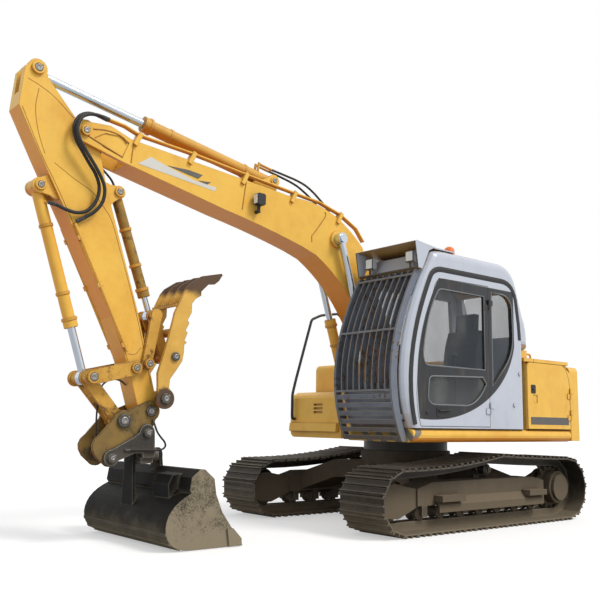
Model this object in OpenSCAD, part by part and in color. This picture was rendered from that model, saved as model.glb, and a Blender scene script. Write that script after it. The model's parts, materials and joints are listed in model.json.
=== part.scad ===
// Crawler excavator of the twelve tonne class, with a thumb and a tilting ditching bucket.
// Millimetres. +X is forward, +Y is to the operator's left, +Z is up.
// The origin lies on the ground under the swing axis.

/* [Undercarriage] */
// Distance between the idler axle and the sprocket axle
tumbler_distance = 2800; // [2600:10:3000]
// Distance between the two track centre lines
track_gauge = 1990; // [1900:10:2200]
// Width of a track shoe
shoe_width = 600; // [450:10:700]
// Shoes in one track
shoe_count = 43; // [40:1:46]
// Radius of the track over the idler, out to the grouser tips
idler_loop_r = 325; // [315:1:345]
// Radius of the track over the sprocket, out to the grouser tips
sprocket_loop_r = 360; // [350:1:375]
// Thickness of a shoe plate
shoe_plate = 13; // [10:1:16]
// Height of a grouser above its shoe plate
grouser_h = 25; // [18:1:30]
// Height of the track links
link_h = 80; // [70:1:85]
// Height of the track's upper run over the carrier roller
carrier_run_z = 770; // [750:1:800]
// Position of the carrier roller along the track
carrier_x = -150; // [-300:10:100]
// Width of the track frame beam
frame_beam_w = 270; // [230:5:300]
// Ground clearance under the centre frame
ground_clearance = 440; // [400:10:480]

/* [House] */
// Underside of the revolving frame above the ground
deck_bottom = 885; // [865:5:920]
// Depth of the revolving frame's side sill
sill_h = 140; // [120:5:160]
// Half width of the house
house_half_w = 1235; // [1200:5:1260]
// Tail swing radius
tail_r = 2130; // [2080:10:2250]
// Depth of the counterweight, from front to back
tail_depth = 570; // [520:10:620]
// Top of the engine hood
hood_top = 1830; // [1800:5:1880]
// Top of the counterweight
tail_top = 1780; // [1740:5:1790]
// Thickness of doors and sheet panels
panel_t = 40; // [25:1:50]

/* [Cab] */
// Right side of the cab, next to the boom
cab_right = 320; // [310:1:360]
// Top of the cab roof
cab_top = 2870; // [2830:5:2920]
// Thickness of the cab walls
cab_wall = 50; // [40:1:60]
// Rear wall of the cab, behind the swing axis
cab_rear = 650; // [620:5:670]
// Rear edge of the door opening
door_rear = 10; // [-10:5:40]
// Gap round a door
door_gap = 6; // [5:1:10]
// Thickness of the window glass
glass_t = 6; // [5:1:8]

/* [Boom] */
// Boom foot pin, ahead of the swing axis
boom_foot_x = 160; // [100:5:220]
// Boom foot pin above the ground
boom_foot_z = 1630; // [1580:5:1680]
// Boom length, from foot pin to tip pin
boom_len = 4550; // [4400:10:4700]
// Boom angle above the horizon as parked
boom_angle = 25.2; // [20:0.1:32]
// Half width of the boom
boom_half_w = 160; // [150:1:165]
// Radius of the main pins
pin_r = 38; // [32:1:42]

/* [Arm] */
// Arm length, from boom pin to bucket pin
arm_len = 2550; // [2450:10:2650]
// Arm angle below the horizon as parked
arm_angle = -107.7; // [-112:0.1:-104]
// Half width of the arm
arm_half_w = 115; // [105:1:118]

/* [Cylinders] */
// Distance of the boom cylinders from the centre plane
boom_cyl_y = 235; // [230:1:240]
// Outside diameter of the boom cylinder tubes
boom_cyl_d = 115; // [105:1:120]
// Outside diameter of the arm cylinder tube
arm_cyl_d = 136; // [120:1:140]
// Outside diameter of the bucket cylinder tube
bucket_cyl_d = 105; // [95:1:110]
// Outside diameter of the thumb cylinder tube
thumb_cyl_d = 95; // [85:1:100]

/* [Bucket and thumb] */
// Width of the ditching bucket
bucket_w = 1520; // [1400:10:1650]
// Thickness of the bucket's plates
bucket_plate = 16; // [12:1:22]
// Thickness of the coupler side plates
coupler_plate = 30; // [25:1:34]
// Length of the thumb, from its pivot to its tips
thumb_len = 1340; // [1280:10:1400]

/* [Hidden] */
$fn = 48;
pin_play = 0.3;
seat_gap = 0.4;
side_play = 6;
eps = 1;

yellow = [0.93, 0.66, 0.18];
pale = [0.84, 0.86, 0.92];
dark = [0.16, 0.17, 0.2];
steel = [0.35, 0.33, 0.3];
chrome = [0.8, 0.82, 0.86];
glass = [0.35, 0.42, 0.48, 0.5];

// Pins as [x, z] in the centre plane, as parked
boom_foot = [boom_foot_x, boom_foot_z];
arm_pin = at(boom_foot, boom_angle, [boom_len, 0]);
arm_tip = at(arm_pin, arm_angle, [arm_len, 0]);
boom_cyl_foot = [620, 1030];
boom_cyl_pin_local = [1626, 826];
boom_cyl_pin = at(boom_foot, boom_angle, boom_cyl_pin_local);
arm_cyl_pin_local = [2608, 930];
arm_cyl_pin = at(boom_foot, boom_angle, arm_cyl_pin_local);
arm_rod_pin_local = [-575, 281];
arm_rod_pin = at(arm_pin, arm_angle, arm_rod_pin_local);
bucket_cyl_pin_local = [417, 493];
bucket_cyl_pin = at(arm_pin, arm_angle, bucket_cyl_pin_local);
lever_pin_local = [arm_len - 412, 60];
lever_pin = at(arm_pin, arm_angle, lever_pin_local);
rod_pin_local = lever_pin_local + [-28, 415];
rod_pin = at(arm_pin, arm_angle, rod_pin_local);
link_pin = arm_tip + [262, -88];
front_hook = arm_tip + [40, -190];
rear_hook = arm_tip + [375, -405];
thumb_pin_local = [arm_len - 80, -122];
thumb_pin = at(arm_pin, arm_angle, thumb_pin_local);
thumb_link_pin_local = [arm_len - 416, -75];
thumb_link_pin = at(arm_pin, arm_angle, thumb_link_pin_local);
thumb_rod_pin_local = [arm_len - 824, -290];
thumb_rod_pin = at(arm_pin, arm_angle, thumb_rod_pin_local);
thumb_lift = 116;
thumb_scale = thumb_len / 1340;
thumb_drive_local = [380, -93] * thumb_scale;
thumb_drive_pin = at(thumb_pin, thumb_lift, thumb_drive_local);
thumb_cyl_pin_local = [arm_len - 1990, -235];
thumb_cyl_pin = at(arm_pin, arm_angle, thumb_cyl_pin_local);

deck_top = deck_bottom + sill_h;
tail_front = tail_r - tail_depth;
track_y = track_gauge / 2;
tumbler_x = tumbler_distance / 2;

// Small tools for points in a side view

function at(o, a, p) = [o.x + p.x * cos(a) - p.y * sin(a), o.y + p.x * sin(a) + p.y * cos(a)];
function heading(a, b) = atan2(b.y - a.y, b.x - a.x);
function mix(a, b, t) = a + (b - a) * t;
function bend(a, b, c, n = 8) =
  [for (i = [0:n]) let (t = i / n) mix(mix(a, b, t), mix(b, c, t), t)];
function arc(c, r, a0, a1, n = 10) =
  [for (i = [0:n]) let (a = mix(a0, a1, i / n)) c + r * [cos(a), sin(a)]];

function bend_part(a, b, c, t0, t1, n = 8) =
  [for (i = [0:n]) let (t = mix(t0, t1, i / n)) mix(mix(a, b, t), mix(b, c, t), t)];
// Corners of a path replaced by short curves that start r before each corner
function rounded(pts, r, n = 4) = concat([pts[0]],
  [for (i = [1:len(pts) - 2])
    let (b = pts[i], back = pts[i - 1] - b, on = pts[i + 1] - b)
    for (p = bend(b + back * r / norm(back), b, b + on * r / norm(on), n)) p],
  [pts[len(pts) - 1]]);
function reversed(v) = [for (i = [len(v) - 1:-1:0]) v[i]];

// Draws in a side view frame: x along the angle, y upward from it, thickness across the machine
module side(o = [0, 0], a = 0, y = 0) {
  translate([o.x, y, o.y]) rotate([0, -a, 0]) rotate([90, 0, 0]) children();
}

module slab(t, o = [0, 0], a = 0, y = 0) {
  side(o, a, y) linear_extrude(t, center = true) children();
}

module cross_pin(o, r, w, y = 0) {
  side(o, 0, y) cylinder(r = r, h = w, center = true);
}

// A round bar or hose along a path of points, closed at both ends
function way(pts, i) =
  let (a = pts[max(i - 1, 0)], b = pts[min(i + 1, len(pts) - 1)]) (b - a) / norm(b - a);
module swept(pts, r, sides = 10, across = [0, 1, 0]) {
  n = len(pts);
  polyhedron(
    [for (i = [0:n - 1])
      let (d = way(pts, i), u = cross(d, across) / norm(cross(d, across)), v = cross(d, u))
      for (k = [0:sides - 1]) pts[i] + r * (u * cos(360 * k / sides) + v * sin(360 * k / sides))],
    concat(
      [[for (k = [0:sides - 1]) k]],
      [for (i = [0:n - 2], k = [0:sides - 1]) let (k2 = (k + 1) % sides)
        [i * sides + k, (i + 1) * sides + k, (i + 1) * sides + k2, i * sides + k2]],
      [[for (k = [sides - 1:-1:0]) (n - 1) * sides + k]]));
}

// Points of a side view set at y across the machine
function set_at(o, a, y, pts) = [for (p = pts) let (q = at(o, a, p)) [q.x, y, q.y]];

module both_sides() {
  children();
  mirror([0, 1, 0]) children();
}

// A bar with round ends between two points of a side view
module strap(a, b, ra, rb) {
  l = norm(b - a);
  translate(a) rotate(heading(a, b)) {
    circle(ra);
    translate([l, 0]) circle(rb);
    polygon([[0, 0.94 * ra], [l, 0.94 * rb], [l, -0.94 * rb], [0, -0.94 * ra]]);
  }
}

// Tracks

shoe_h = shoe_plate + grouser_h;
front_belt_r = idler_loop_r - shoe_h;
rear_belt_r = sprocket_loop_r - shoe_h;
front_sag = 35;
rear_sag = 8;
belt_front_top = [tumbler_x, idler_loop_r + front_belt_r];
belt_rear_top = [-tumbler_x, sprocket_loop_r + rear_belt_r];
belt_carrier = [carrier_x, carrier_run_z - shoe_h];

function sagging(a, b, drop, n) =
  [for (i = [1:n - 1]) let (t = i / n) mix(a, b, t) - [0, drop * 4 * t * (1 - t)]];

belt = concat(
  [[-tumbler_x, shoe_h]],
  arc([tumbler_x, idler_loop_r], front_belt_r, -90, 90, 24),
  sagging(belt_front_top, belt_carrier, front_sag, 12),
  [belt_carrier],
  sagging(belt_carrier, belt_rear_top, rear_sag, 8),
  arc([-tumbler_x, sprocket_loop_r], rear_belt_r, 90, 269, 24));

function run_to(i) = i == 0 ? 0 : run_to(i - 1) + norm(belt[i % len(belt)] - belt[i - 1]);
belt_run = [for (i = [0:len(belt)]) run_to(i)];
belt_length = belt_run[len(belt)];
function belt_at(s) =
  let (k = [for (i = [0:len(belt) - 1]) if (belt_run[i] <= s && s < belt_run[i + 1]) i][0])
  mix(belt[k], belt[(k + 1) % len(belt)], (s - belt_run[k]) / (belt_run[k + 1] - belt_run[k]));
hinge_points = [for (i = [0:shoe_count - 1]) belt_at(i * belt_length / shoe_count)];
function hinge(i) = hinge_points[(i + shoe_count) % shoe_count];
function outward(a, b) = let (d = (b - a) / norm(b - a)) [d.y, -d.x];
function corner_out(i) =
  let (n = outward(hinge(i - 1), hinge(i)) + outward(hinge(i), hinge(i + 1))) n / norm(n);

// One shoe with three grousers: places along the pitch from 0 to 1, and heights above the belt line
shoe_outline = [[0.02, shoe_plate], [0.03, shoe_h], [0.09, shoe_h], [0.13, shoe_plate],
  [0.46, shoe_plate], [0.48, shoe_h], [0.53, shoe_h], [0.55, shoe_plate],
  [0.89, shoe_plate], [0.91, shoe_h], [0.97, shoe_h]];
shoe_points = [for (i = [0:shoe_count - 1])
  let (a = hinge(i), b = hinge(i + 1), n = outward(a, b))
  for (p = shoe_outline) mix(a, b, p.x) + n * p.y];
rail_points = [for (i = [0:shoe_count - 1]) hinge(i) - corner_out(i) * link_h];
rail_w = 34;
rail_y = 62;

module track(y) {
  color(steel) {
    slab(shoe_width, y = y) difference() {
      polygon(shoe_points);
      polygon(hinge_points);
    }
    for (s = [-1, 1]) slab(rail_w, y = y + s * rail_y) difference() {
      polygon([for (i = [0:shoe_count - 1]) hinge(i) + corner_out(i) * shoe_plate / 2]);
      polygon(rail_points);
    }
  }
}

module track_left() { track(track_y); }
module track_right() { track(-track_y); }

// Wheels inside the tracks

pitch = belt_length / shoe_count;
function inside_r(r) = r * cos(asin(pitch / 2 / r)) - link_h;
idler_r = inside_r(front_belt_r) - 3;
sprocket_r = inside_r(rear_belt_r) - 3;
rail_inner = rail_y - rail_w / 2;
idler_half_w = rail_y + rail_w / 2;
axle_r = 45;
idler_z = idler_loop_r;
sprocket_z = sprocket_loop_r;

module idlers() {
  flange = [[axle_r, -idler_half_w], [idler_r - 25, -idler_half_w], [idler_r, -idler_half_w + 20],
    [idler_r, -rail_inner + 8], [idler_r + 26, -rail_inner + 16], [idler_r + 26, rail_inner - 16],
    [idler_r, rail_inner - 8], [idler_r, idler_half_w - 20], [idler_r - 25, idler_half_w],
    [axle_r, idler_half_w]];
  color(steel) for (s = [-1, 1]) side([tumbler_x, idler_z], 0, s * track_y) {
    rotate_extrude() polygon(flange);
    cylinder(r = axle_r + eps / 10, h = fork_gap, center = true);
  }
}

sprocket_teeth = 15;
tooth_r = sprocket_r + 52;
sprocket_disc = 50;
hub_r = 150;
hub_reach = 175;
drive_r = 185;

module sprockets() {
  color(steel) for (s = [-1, 1]) side([-tumbler_x, sprocket_z], 0, s * track_y) {
    linear_extrude(sprocket_disc, center = true) polygon([for (i = [0:sprocket_teeth - 1])
      for (p = [[-7, sprocket_r - 6], [-2.4, tooth_r], [2.4, tooth_r], [7, sprocket_r - 6]])
      p.y * [cos(360 / sprocket_teeth * i + p.x), sin(360 / sprocket_teeth * i + p.x)]]);
    mirror([0, 0, s == 1 ? 1 : 0]) {
      cylinder(r = drive_r, h = hub_reach - 35);
      cylinder(r = hub_r, h = hub_reach);
      translate([0, 0, -drive_plate_y + seat_gap]) cylinder(r = drive_r, h = drive_plate_y);
    }
  }
}

roller_r = 68;
roller_z = shoe_h + link_h + roller_r + 1;
roller_count = 7;
roller_span = 1900;
carrier_r = 62;
carrier_z = belt_carrier.y - link_h - carrier_r - 4;

module roller_profile(r, half) {
  rotate_extrude() polygon([[0, -half], [r * 0.6, -half], [r, -half + 15], [r, -rail_inner + 6],
    [r * 0.8, -rail_inner + 12], [r * 0.8, rail_inner - 12], [r, rail_inner - 6], [r, half - 15],
    [r * 0.6, half], [0, half]]);
}

module rollers() {
  foot_h = frame_beam_z0 - seat_gap - roller_z + 30;
  step = roller_span / (roller_count - 1);
  color(steel) for (s = [-1, 1]) {
    for (i = [0:roller_count - 1]) side([-roller_span / 2 + i * step, roller_z], 0, s * track_y) {
      roller_profile(roller_r, idler_half_w + 4);
      cylinder(r = 30, h = frame_beam_w, center = true);
      for (k = [-1, 1]) translate([-38, -30, k * (frame_beam_w / 2 - 12) - 12]) cube([76, foot_h, 24]);
    }
    side([carrier_x, carrier_z], 0, s * track_y) {
      roller_profile(carrier_r, idler_half_w);
      cylinder(r = 28, h = 2 * idler_half_w + 40, center = true);
    }
    translate([carrier_x - 40, s * (track_y - idler_half_w - 20) - 15, frame_beam_z1 + seat_gap])
      cube([80, 30, carrier_z - frame_beam_z1 + 30]);
  }
}

// Track frames and the centre frame

frame_beam_z0 = 264;
frame_beam_z1 = 490;
frame_front = tumbler_x - front_belt_r - 60;
frame_back = -tumbler_x + tooth_r + 15;
fork_gap = 2 * (idler_half_w + 12);
fork_t = 25;
drive_plate_y = 70;
skirt_front = 800;
skirt_back = -1010;
skirt_out = 200;
step_out = 250;

module frame_beam(s) {
  slab(frame_beam_w, y = s * track_y) polygon([[frame_back, frame_beam_z0], [frame_front, frame_beam_z0],
    [frame_front, frame_beam_z1 - 60], [frame_front - 220, frame_beam_z1], [frame_back + 200, frame_beam_z1],
    [frame_back, frame_beam_z1 - 40]]);
  // fork plates that carry the idler, with a rounded nose
  for (k = [-1, 1]) slab(fork_t, y = s * track_y + k * (fork_gap / 2 + fork_t / 2 + seat_gap))
    polygon(concat([[frame_front - 40, frame_beam_z0], [tumbler_x - 90, idler_z - 170]],
      arc([tumbler_x, idler_z], 180, -60, 60, 6),
      [[tumbler_x - 40, idler_z + 165], [frame_front - 40, frame_beam_z1 - 65]]));
  // skirt over the rollers, with two steps, on the outer side
  mirror([0, s > 0 ? 0 : 1, 0]) translate([0, track_y, 0]) {
    rotate([90, 0, 90]) translate([0, 0, skirt_back]) linear_extrude(skirt_front - skirt_back)
      polygon([[frame_beam_w / 2 - eps, 345], [skirt_out, 268], [skirt_out, 194], [skirt_out - 16, 194],
        [skirt_out - 16, 258], [frame_beam_w / 2 - eps, 320]]);
    for (x = [[450, 810], [-1000, -670]]) translate([x[0], frame_beam_w / 2 - eps, 300])
      cube([x[1] - x[0], step_out - frame_beam_w / 2, 60]);
  }
  // plate that carries the final drive
  slab(60, y = s * (track_y - drive_plate_y - 30)) {
    translate([-tumbler_x, sprocket_z]) circle(drive_r + 20);
    polygon([[-tumbler_x, sprocket_z - drive_r - 20], [frame_back + 40, frame_beam_z0],
      [frame_back + 40, frame_beam_z1 - 40], [-tumbler_x, sprocket_z + drive_r + 20]]);
  }
}

module track_frames() {
  color(steel) for (s = [-1, 1]) frame_beam(s);
}

bearing_r = 520;
bearing_z = 760;
leg_z1 = 640;

module car_body() {
  inner_y = track_y - frame_beam_w / 2;
  color(steel) {
    // four legs that slope down to the track frames
    intersection() {
      linear_extrude(leg_z1) for (s = [-1, 1], k = [-1, 1])
        polygon([[0, 0], [k * 400, s * 100], [k * 870, s * inner_y],
          [k * 430, s * inner_y], [k * 60, s * 460]]);
      rotate([90, 0, 90]) linear_extrude(4000, center = true) polygon([
        [-inner_y, frame_beam_z0 + 20], [-inner_y, frame_beam_z1], [-bearing_r, leg_z1], [bearing_r, leg_z1],
        [inner_y, frame_beam_z1], [inner_y, frame_beam_z0 + 20], [bearing_r, ground_clearance],
        [-bearing_r, ground_clearance]]);
    }
    translate([0, 0, ground_clearance]) cylinder(r = bearing_r, h = bearing_z - ground_clearance);
  }
}

lug_hole_r = 32;
lug_t = 40;
lug_x = bearing_r + 80;
lug_z = ground_clearance + 100;

module tow_lugs() {
  color(steel) for (k = [-1, 1]) slab(lug_t) difference() {
    union() {
      translate([k * lug_x, lug_z]) circle(70);
      translate([k > 0 ? bearing_r + 0.2 : -lug_x, lug_z - 70]) square([lug_x - bearing_r - 0.2, 140]);
    }
    translate([k * lug_x, lug_z]) circle(lug_hole_r);
  }
}

// House

bracket_in = boom_half_w + side_play;
bracket_t = 26;
cyl_eye_w = 76;
nose_half = boom_cyl_y - boom_cyl_d / 2 - 25;
cyl_pin_out = boom_cyl_y + boom_cyl_d / 2 + 8;
notch_half = cab_right - 12;
right_front = 750;
left_front = 1225;

module house_frame() {
  notch_x = boom_cyl_foot.x - eye_r - 12;
  color(yellow) {
    // deck with rounded side sills, open at the front for the boom
    intersection() {
      translate([0, 0, deck_bottom]) linear_extrude(sill_h) polygon([[left_front, house_half_w],
        [left_front, cab_right], [notch_x, cab_right], [notch_x, -notch_half], [right_front, -notch_half],
        [right_front, -house_half_w], [-tail_front, -house_half_w], [-tail_front, house_half_w]]);
      rotate([90, 0, 90]) linear_extrude(4 * tail_r, center = true) polygon(concat(
        arc([house_half_w - sill_h / 2, deck_bottom + sill_h / 2], sill_h / 2, -90, 90, 8),
        arc([-house_half_w + sill_h / 2, deck_bottom + sill_h / 2], sill_h / 2, 90, 270, 8)));
    }
    // swing bearing
    translate([0, 0, bearing_z + 2]) cylinder(r = bearing_r - 30, h = deck_bottom - bearing_z - 2 + eps);
    // boom brackets with the foot pin and the cylinder pins
    for (s = [-1, 1]) slab(bracket_t, y = s * (bracket_in + bracket_t / 2)) {
      polygon([[-520, deck_top - eps], [boom_foot.x - 150, boom_foot.y],
        [boom_foot.x + 120, boom_foot.y + 20],
        [500, deck_top + 40], [500, deck_bottom + 20], [-520, deck_bottom + 20]]);
      translate(boom_foot) circle(150);
    }
    // nose that carries the boom cylinders
    slab(2 * nose_half) strap(boom_cyl_foot, [430, deck_top - 40], 95, 90);
    cross_pin(boom_foot, pin_r, 2 * (bracket_in + bracket_t + 14));
    for (s = [-1, 1]) {
      cross_pin(boom_cyl_foot, pin_r, cyl_pin_out - nose_half + 20, s * (nose_half - 20 + cyl_pin_out) / 2);
      cross_pin(boom_cyl_foot, 60, 40, s * (boom_cyl_y - boom_cyl_d / 2 - side_play - 20));
    }
  }
}

module tail_plan(r, half) {
  corner = asin(half / r);
  polygon(concat([[-tail_front - 1, -half], [-tail_front - 1, half]],
    arc([0, 0], r, 180 - corner, 180 + corner, 24)));
}

module counterweight() {
  color(yellow) {
    intersection() {
      translate([0, 0, deck_bottom]) linear_extrude(tail_top) tail_plan(tail_r, house_half_w);
      // side profile with a rounded top edge and an undercut foot
      side() linear_extrude(3 * tail_r, center = true) polygon(concat(
        [[-tail_front, deck_bottom + 10], [-tail_front, tail_top]],
        bend([-tail_r + 330, tail_top], [-tail_r + 40, tail_top - 20], [-tail_r, tail_top - 330], 8),
        bend([-tail_r, deck_bottom + 150], [-tail_r, deck_bottom + 20],
          [-tail_r + 150, deck_bottom + 10], 6)));
      // rounded shoulders
      rotate([90, 0, 90]) linear_extrude(4 * tail_r, center = true) polygon(concat(
        [[-house_half_w, 0], [house_half_w, 0]],
        arc([house_half_w - 70, tail_top - 70], 70, 0, 90, 6),
        arc([-house_half_w + 70, tail_top - 70], 70, 90, 180, 6)));
    }
    // cheeks that close the swept rear edge of the side doors
    for (s = [-1, 1]) slab(panel_t, y = s * (house_half_w - panel_t / 2)) polygon(concat(
      reversed(door_sweep(door_gap)), [[-tail_front - 2, tail_top - 80], [-tail_front - 2, door_sweep_z]]));
  }
}

eye_hole_r = 35;
eye_t = 40;
eye_y = 520;
eye_x = -tail_front - tail_depth * 0.44;

module lifting_eyes() {
  color(yellow) for (s = [-1, 1]) slab(eye_t, y = s * eye_y) difference() {
    union() {
      translate([eye_x, tail_top + 63]) circle(62);
      translate([eye_x - 62, tail_top + 0.2]) square([124, 63]);
    }
    translate([eye_x, tail_top + 63]) circle(eye_hole_r);
  }
}

module engine_block() {
  color(steel) translate([bay_back + 160, -560, deck_top])
    cube([bay_front - bay_back - 230, 1120, 560]);
}

tank_top = hood_top - 40;
toolbox_top = 1450;
tank_front = 340;
tank_in = -cab_right;

module tank_body() {
  tank_foot = deck_top + seat_gap;
  depth = house_half_w + tank_in;
  mid = -(house_half_w - tank_in) / 2;
  color(yellow) {
    slab(depth, y = mid) polygon(concat([[-cab_rear - 30, tank_foot], [tank_front, tank_foot]],
      arc([tank_front - 70, tank_top - 70], 70, 0, 90, 6), [[-cab_rear - 30, tank_top]]));
    translate([tank_front - 330, mid - 90, tank_top - eps]) cylinder(r = 75, h = 45);
    // toolbox with a chamfered lid, a bumper and three vents
    difference() {
      slab(depth, y = mid) polygon([[tank_front - eps, tank_foot], [right_front, tank_foot],
        [right_front, toolbox_top - 95], [right_front - 25, toolbox_top - 60],
        [right_front - 110, toolbox_top - 20],
        [tank_front - eps, toolbox_top]]);
      for (i = [0:2]) translate([right_front - 30, -800, deck_top + 150 + 45 * i]) cube([60, 160, 24]);
    }
    slab(depth - 60, y = mid) polygon([[right_front - eps, deck_top + 40], [right_front + 40, deck_top + 30],
      [right_front + 50, deck_bottom + 75], [right_front + 2, deck_bottom + 70], [right_front + 2, deck_top],
      [right_front - eps, tank_foot]]);
  }
}

bay_front = -cab_rear - 40;
bay_back = -tail_front;

module body_panels() {
  inner = house_half_w - panel_t - seat_gap;
  wall_h = hood_top - panel_t - seat_gap - deck_top;
  color(yellow) {
    // wall behind the cab, and the fixed cowl over it
    translate([bay_front - panel_t, -inner, deck_top]) cube([panel_t, 2 * inner, wall_h]);
    translate([hood_front + door_gap, -hood_half, hood_top - panel_t])
      cube([bay_front - hood_front - door_gap + 38, 2 * hood_half, panel_t]);
    // block under the overhang of the cab
    translate([bay_front - 90, cab_left - 230, hood_top - eps]) cube([110, 170, 95]);
    // rear posts beside the counterweight, with the hinges of the doors and the hood
    for (s = [-1, 1]) {
      translate([bay_back + 2, s > 0 ? inner - 120 : -inner, deck_top]) cube([60, 120, wall_h]);
      for (z = door_hinge_z) translate([bay_hinge_x, s * bay_hinge_y, z + knuckle_h + seat_gap]) {
        cylinder(r = knuckle_r, h = knuckle_h);
        translate([-60, s > 0 ? -13 + seat_gap : 5 - seat_gap, 0]) cube([60, 8, knuckle_h]);
      }
      translate([hood_hinge_x, s * 700 + knuckle_h + seat_gap, hood_hinge_z]) rotate([-90, 0, 0])
        cylinder(r = knuckle_r, h = knuckle_h);
      translate([hood_hinge_x - 9, s * 700 + knuckle_h + seat_gap, tail_top + seat_gap])
        cube([9, knuckle_h, hood_hinge_z - tail_top - seat_gap]);
    }
  }
}

knuckle_r = 11;
knuckle_h = 60;
bay_hinge_x = bay_back + 6;
bay_hinge_y = house_half_w + 13;
hood_hinge_x = bay_back + 6;
hood_hinge_z = hood_top + 13;
door_hinge_z = [deck_top + 110, hood_top - 440];
door_head = hood_top - panel_t - door_gap;
door_sweep_z = deck_top + 500;

// Swept rear edge of the side doors, from the top forward down to the hinge line
function door_sweep(g) =
  bend([bay_back + 150 - g, door_head], [bay_back + 20 - g, door_head - 60],
    [bay_back + 8 - g, door_sweep_z], 6);

hood_half = house_half_w - 10;
hood_front = -cab_rear - 190;
hood_bulge_l = hood_front - bay_back - 240;
hood_rail_x = (hood_front + bay_back) / 2 + 70;
hood_rail_y = 900;
hood_rail_h = 95;
module engine_hood() {
  color(yellow) {
    translate([bay_back + 8, -hood_half, hood_top - panel_t])
      cube([hood_front - bay_back - 8, 2 * hood_half, panel_t]);
    // raised middle over the engine
    rotate([90, 0, 90]) translate([0, 0, hood_front - 60 - hood_bulge_l]) linear_extrude(hood_bulge_l)
      polygon([[-720, hood_top - eps], [-660, hood_top + 45], [660, hood_top + 45], [720, hood_top - eps]]);
    for (s = [-1, 1]) translate([hood_hinge_x, s * 700, hood_hinge_z]) rotate([-90, 0, 0]) {
      cylinder(r = knuckle_r, h = knuckle_h);
      translate([0, 3, 0]) cube([60, 12, knuckle_h]);
    }
    // grab rail on the left
    swept([for (p = rounded([[-130, -panel_t / 2], [-130, hood_rail_h], [130, hood_rail_h],
        [130, -panel_t / 2]], 40))
      [hood_rail_x + p.x, hood_rail_y, hood_top + p.y]], 13);
  }
}

module bay_door(s) {
  color(yellow) {
    difference() {
      slab(panel_t, y = s * (house_half_w - panel_t / 2)) polygon(concat(
        [[bay_front - 2, deck_top + door_gap], [bay_front - 2, door_head - 60]],
        arc([bay_front - 62, door_head - 60], 60, 0, 90, 5), door_sweep(0),
        [[bay_back + 8, door_sweep_z], [bay_back + 8, deck_top + door_gap]]));
      // latch recess and air louvres
      slab(16, y = s * house_half_w) translate([bay_front - 190, deck_top + 300]) square([80, 90]);
      if (s < 0) for (i = [0:6]) slab(18, y = s * house_half_w)
        translate([bay_front - 560, deck_top + 250 + 62 * i]) square([330, 26]);
    }
    for (z = door_hinge_z) translate([bay_hinge_x, s * bay_hinge_y, z]) {
      cylinder(r = knuckle_r, h = knuckle_h);
      translate([0, s > 0 ? -15 : 3, 0]) cube([60, 12, knuckle_h]);
    }
  }
}

module side_door_left() { bay_door(1); }
module side_door_right() { bay_door(-1); }

// Cab

cab_left = house_half_w;
cab_mid = (cab_left + cab_right) / 2;
cab_w = cab_left - cab_right;
cab_front_foot = [1240, deck_top];
cab_front_bulge = [1575, 1690];
cab_front_top = [950, cab_top - 130];
cab_over = 95;
over_z = hood_top + 100;

function cab_front_x(z) =
  let (a = cab_front_foot.y - 2 * cab_front_bulge.y + cab_front_top.y,
       b = 2 * (cab_front_bulge.y - cab_front_foot.y),
       t = (-b + sqrt(b * b - 4 * a * (cab_front_foot.y - z))) / (2 * a))
  mix(mix(cab_front_foot, cab_front_bulge, t), mix(cab_front_bulge, cab_front_top, t), t).x;

// Side profile of the cab, drawn in by i on every side
function cab_side(i) = concat(
  bend(cab_front_foot + [-i, 0], cab_front_bulge + [-i * 1.1, 0], cab_front_top + [-i, -i * 0.5], 10),
  bend([cab_front_top.x - 40 - i, cab_top - 40 - i], [cab_front_top.x - 110, cab_top - i],
    [cab_front_top.x - 260, cab_top - i], 4),
  bend([-260, cab_top - i], [-cab_rear + 130 + i, cab_top - 10 - i], [-cab_rear + 60 + i, cab_top - 330], 6),
  bend([-cab_rear - 20 + i, cab_top - 560], [-cab_rear - cab_over + i, over_z + 260],
    [-cab_rear - cab_over + i, over_z + 110], 3),
  [[-cab_rear - cab_over + i, over_z + i], [-cab_rear + i, over_z + i], [-cab_rear + i, deck_top]]);

// Inside of the cab: the same profile without the overhang at the back
function cab_room(i) = concat(
  bend([cab_front_x(deck_top + i) - i, deck_top + i], cab_front_bulge + [-i * 1.1, 0],
    cab_front_top + [-i, -i * 0.5], 10),
  [[cab_front_top.x - 120, cab_top - i], [-260, cab_top - i], [-cab_rear + 60 + i, cab_top - 330],
   [-cab_rear + i, over_z], [-cab_rear + i, deck_top + i]]);

// Rings of the lofted shell, from the left wall to the right wall, with rounded edges
edge_left = 85;
edge_right = 70;
ring_steps = 4;
cab_rings = concat(
  [for (k = [0:ring_steps]) let (a = 90 * k / ring_steps)
    [cab_left - edge_left * (1 - cos(a)), edge_left * (1 - sin(a))]],
  [for (k = [ring_steps:-1:0]) let (a = 90 * k / ring_steps)
    [cab_right + edge_right * (1 - cos(a)), edge_right * (1 - sin(a))]]);

module cab_loft() {
  n = len(cab_side(0));
  m = len(cab_rings);
  last = (m - 1) * n;
  // the flat ends are fans about a point inside the profile
  polyhedron(
    concat([for (r = cab_rings) for (p = cab_side(r[1])) [p.x, r[0], p.y]],
      [[300, cab_left, cab_top - 650], [300, cab_right, cab_top - 650]]),
    [for (j = [0:n - 1]) let (j2 = (j + 1) % n) each concat(
      [[m * n, j, j2], [m * n + 1, last + j2, last + j]],
      [for (k = [0:m - 2]) [k * n + j, (k + 1) * n + j, (k + 1) * n + j2, k * n + j2]])]);
}

// Door and windows
door_foot = deck_top + 22;
door_top = cab_top - 315;
function door_outline(g) = concat(
  bend([1110 + g, door_foot - g], [1300 + g, 1430], [880 + g, door_top - 75 + g], 9),
  bend([880 + g, door_top - 75 + g], [840, door_top + g], [760, door_top + g], 3),
  [[door_rear - g, door_top + 10 + g], [door_rear - g, door_foot - g]]);

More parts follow.
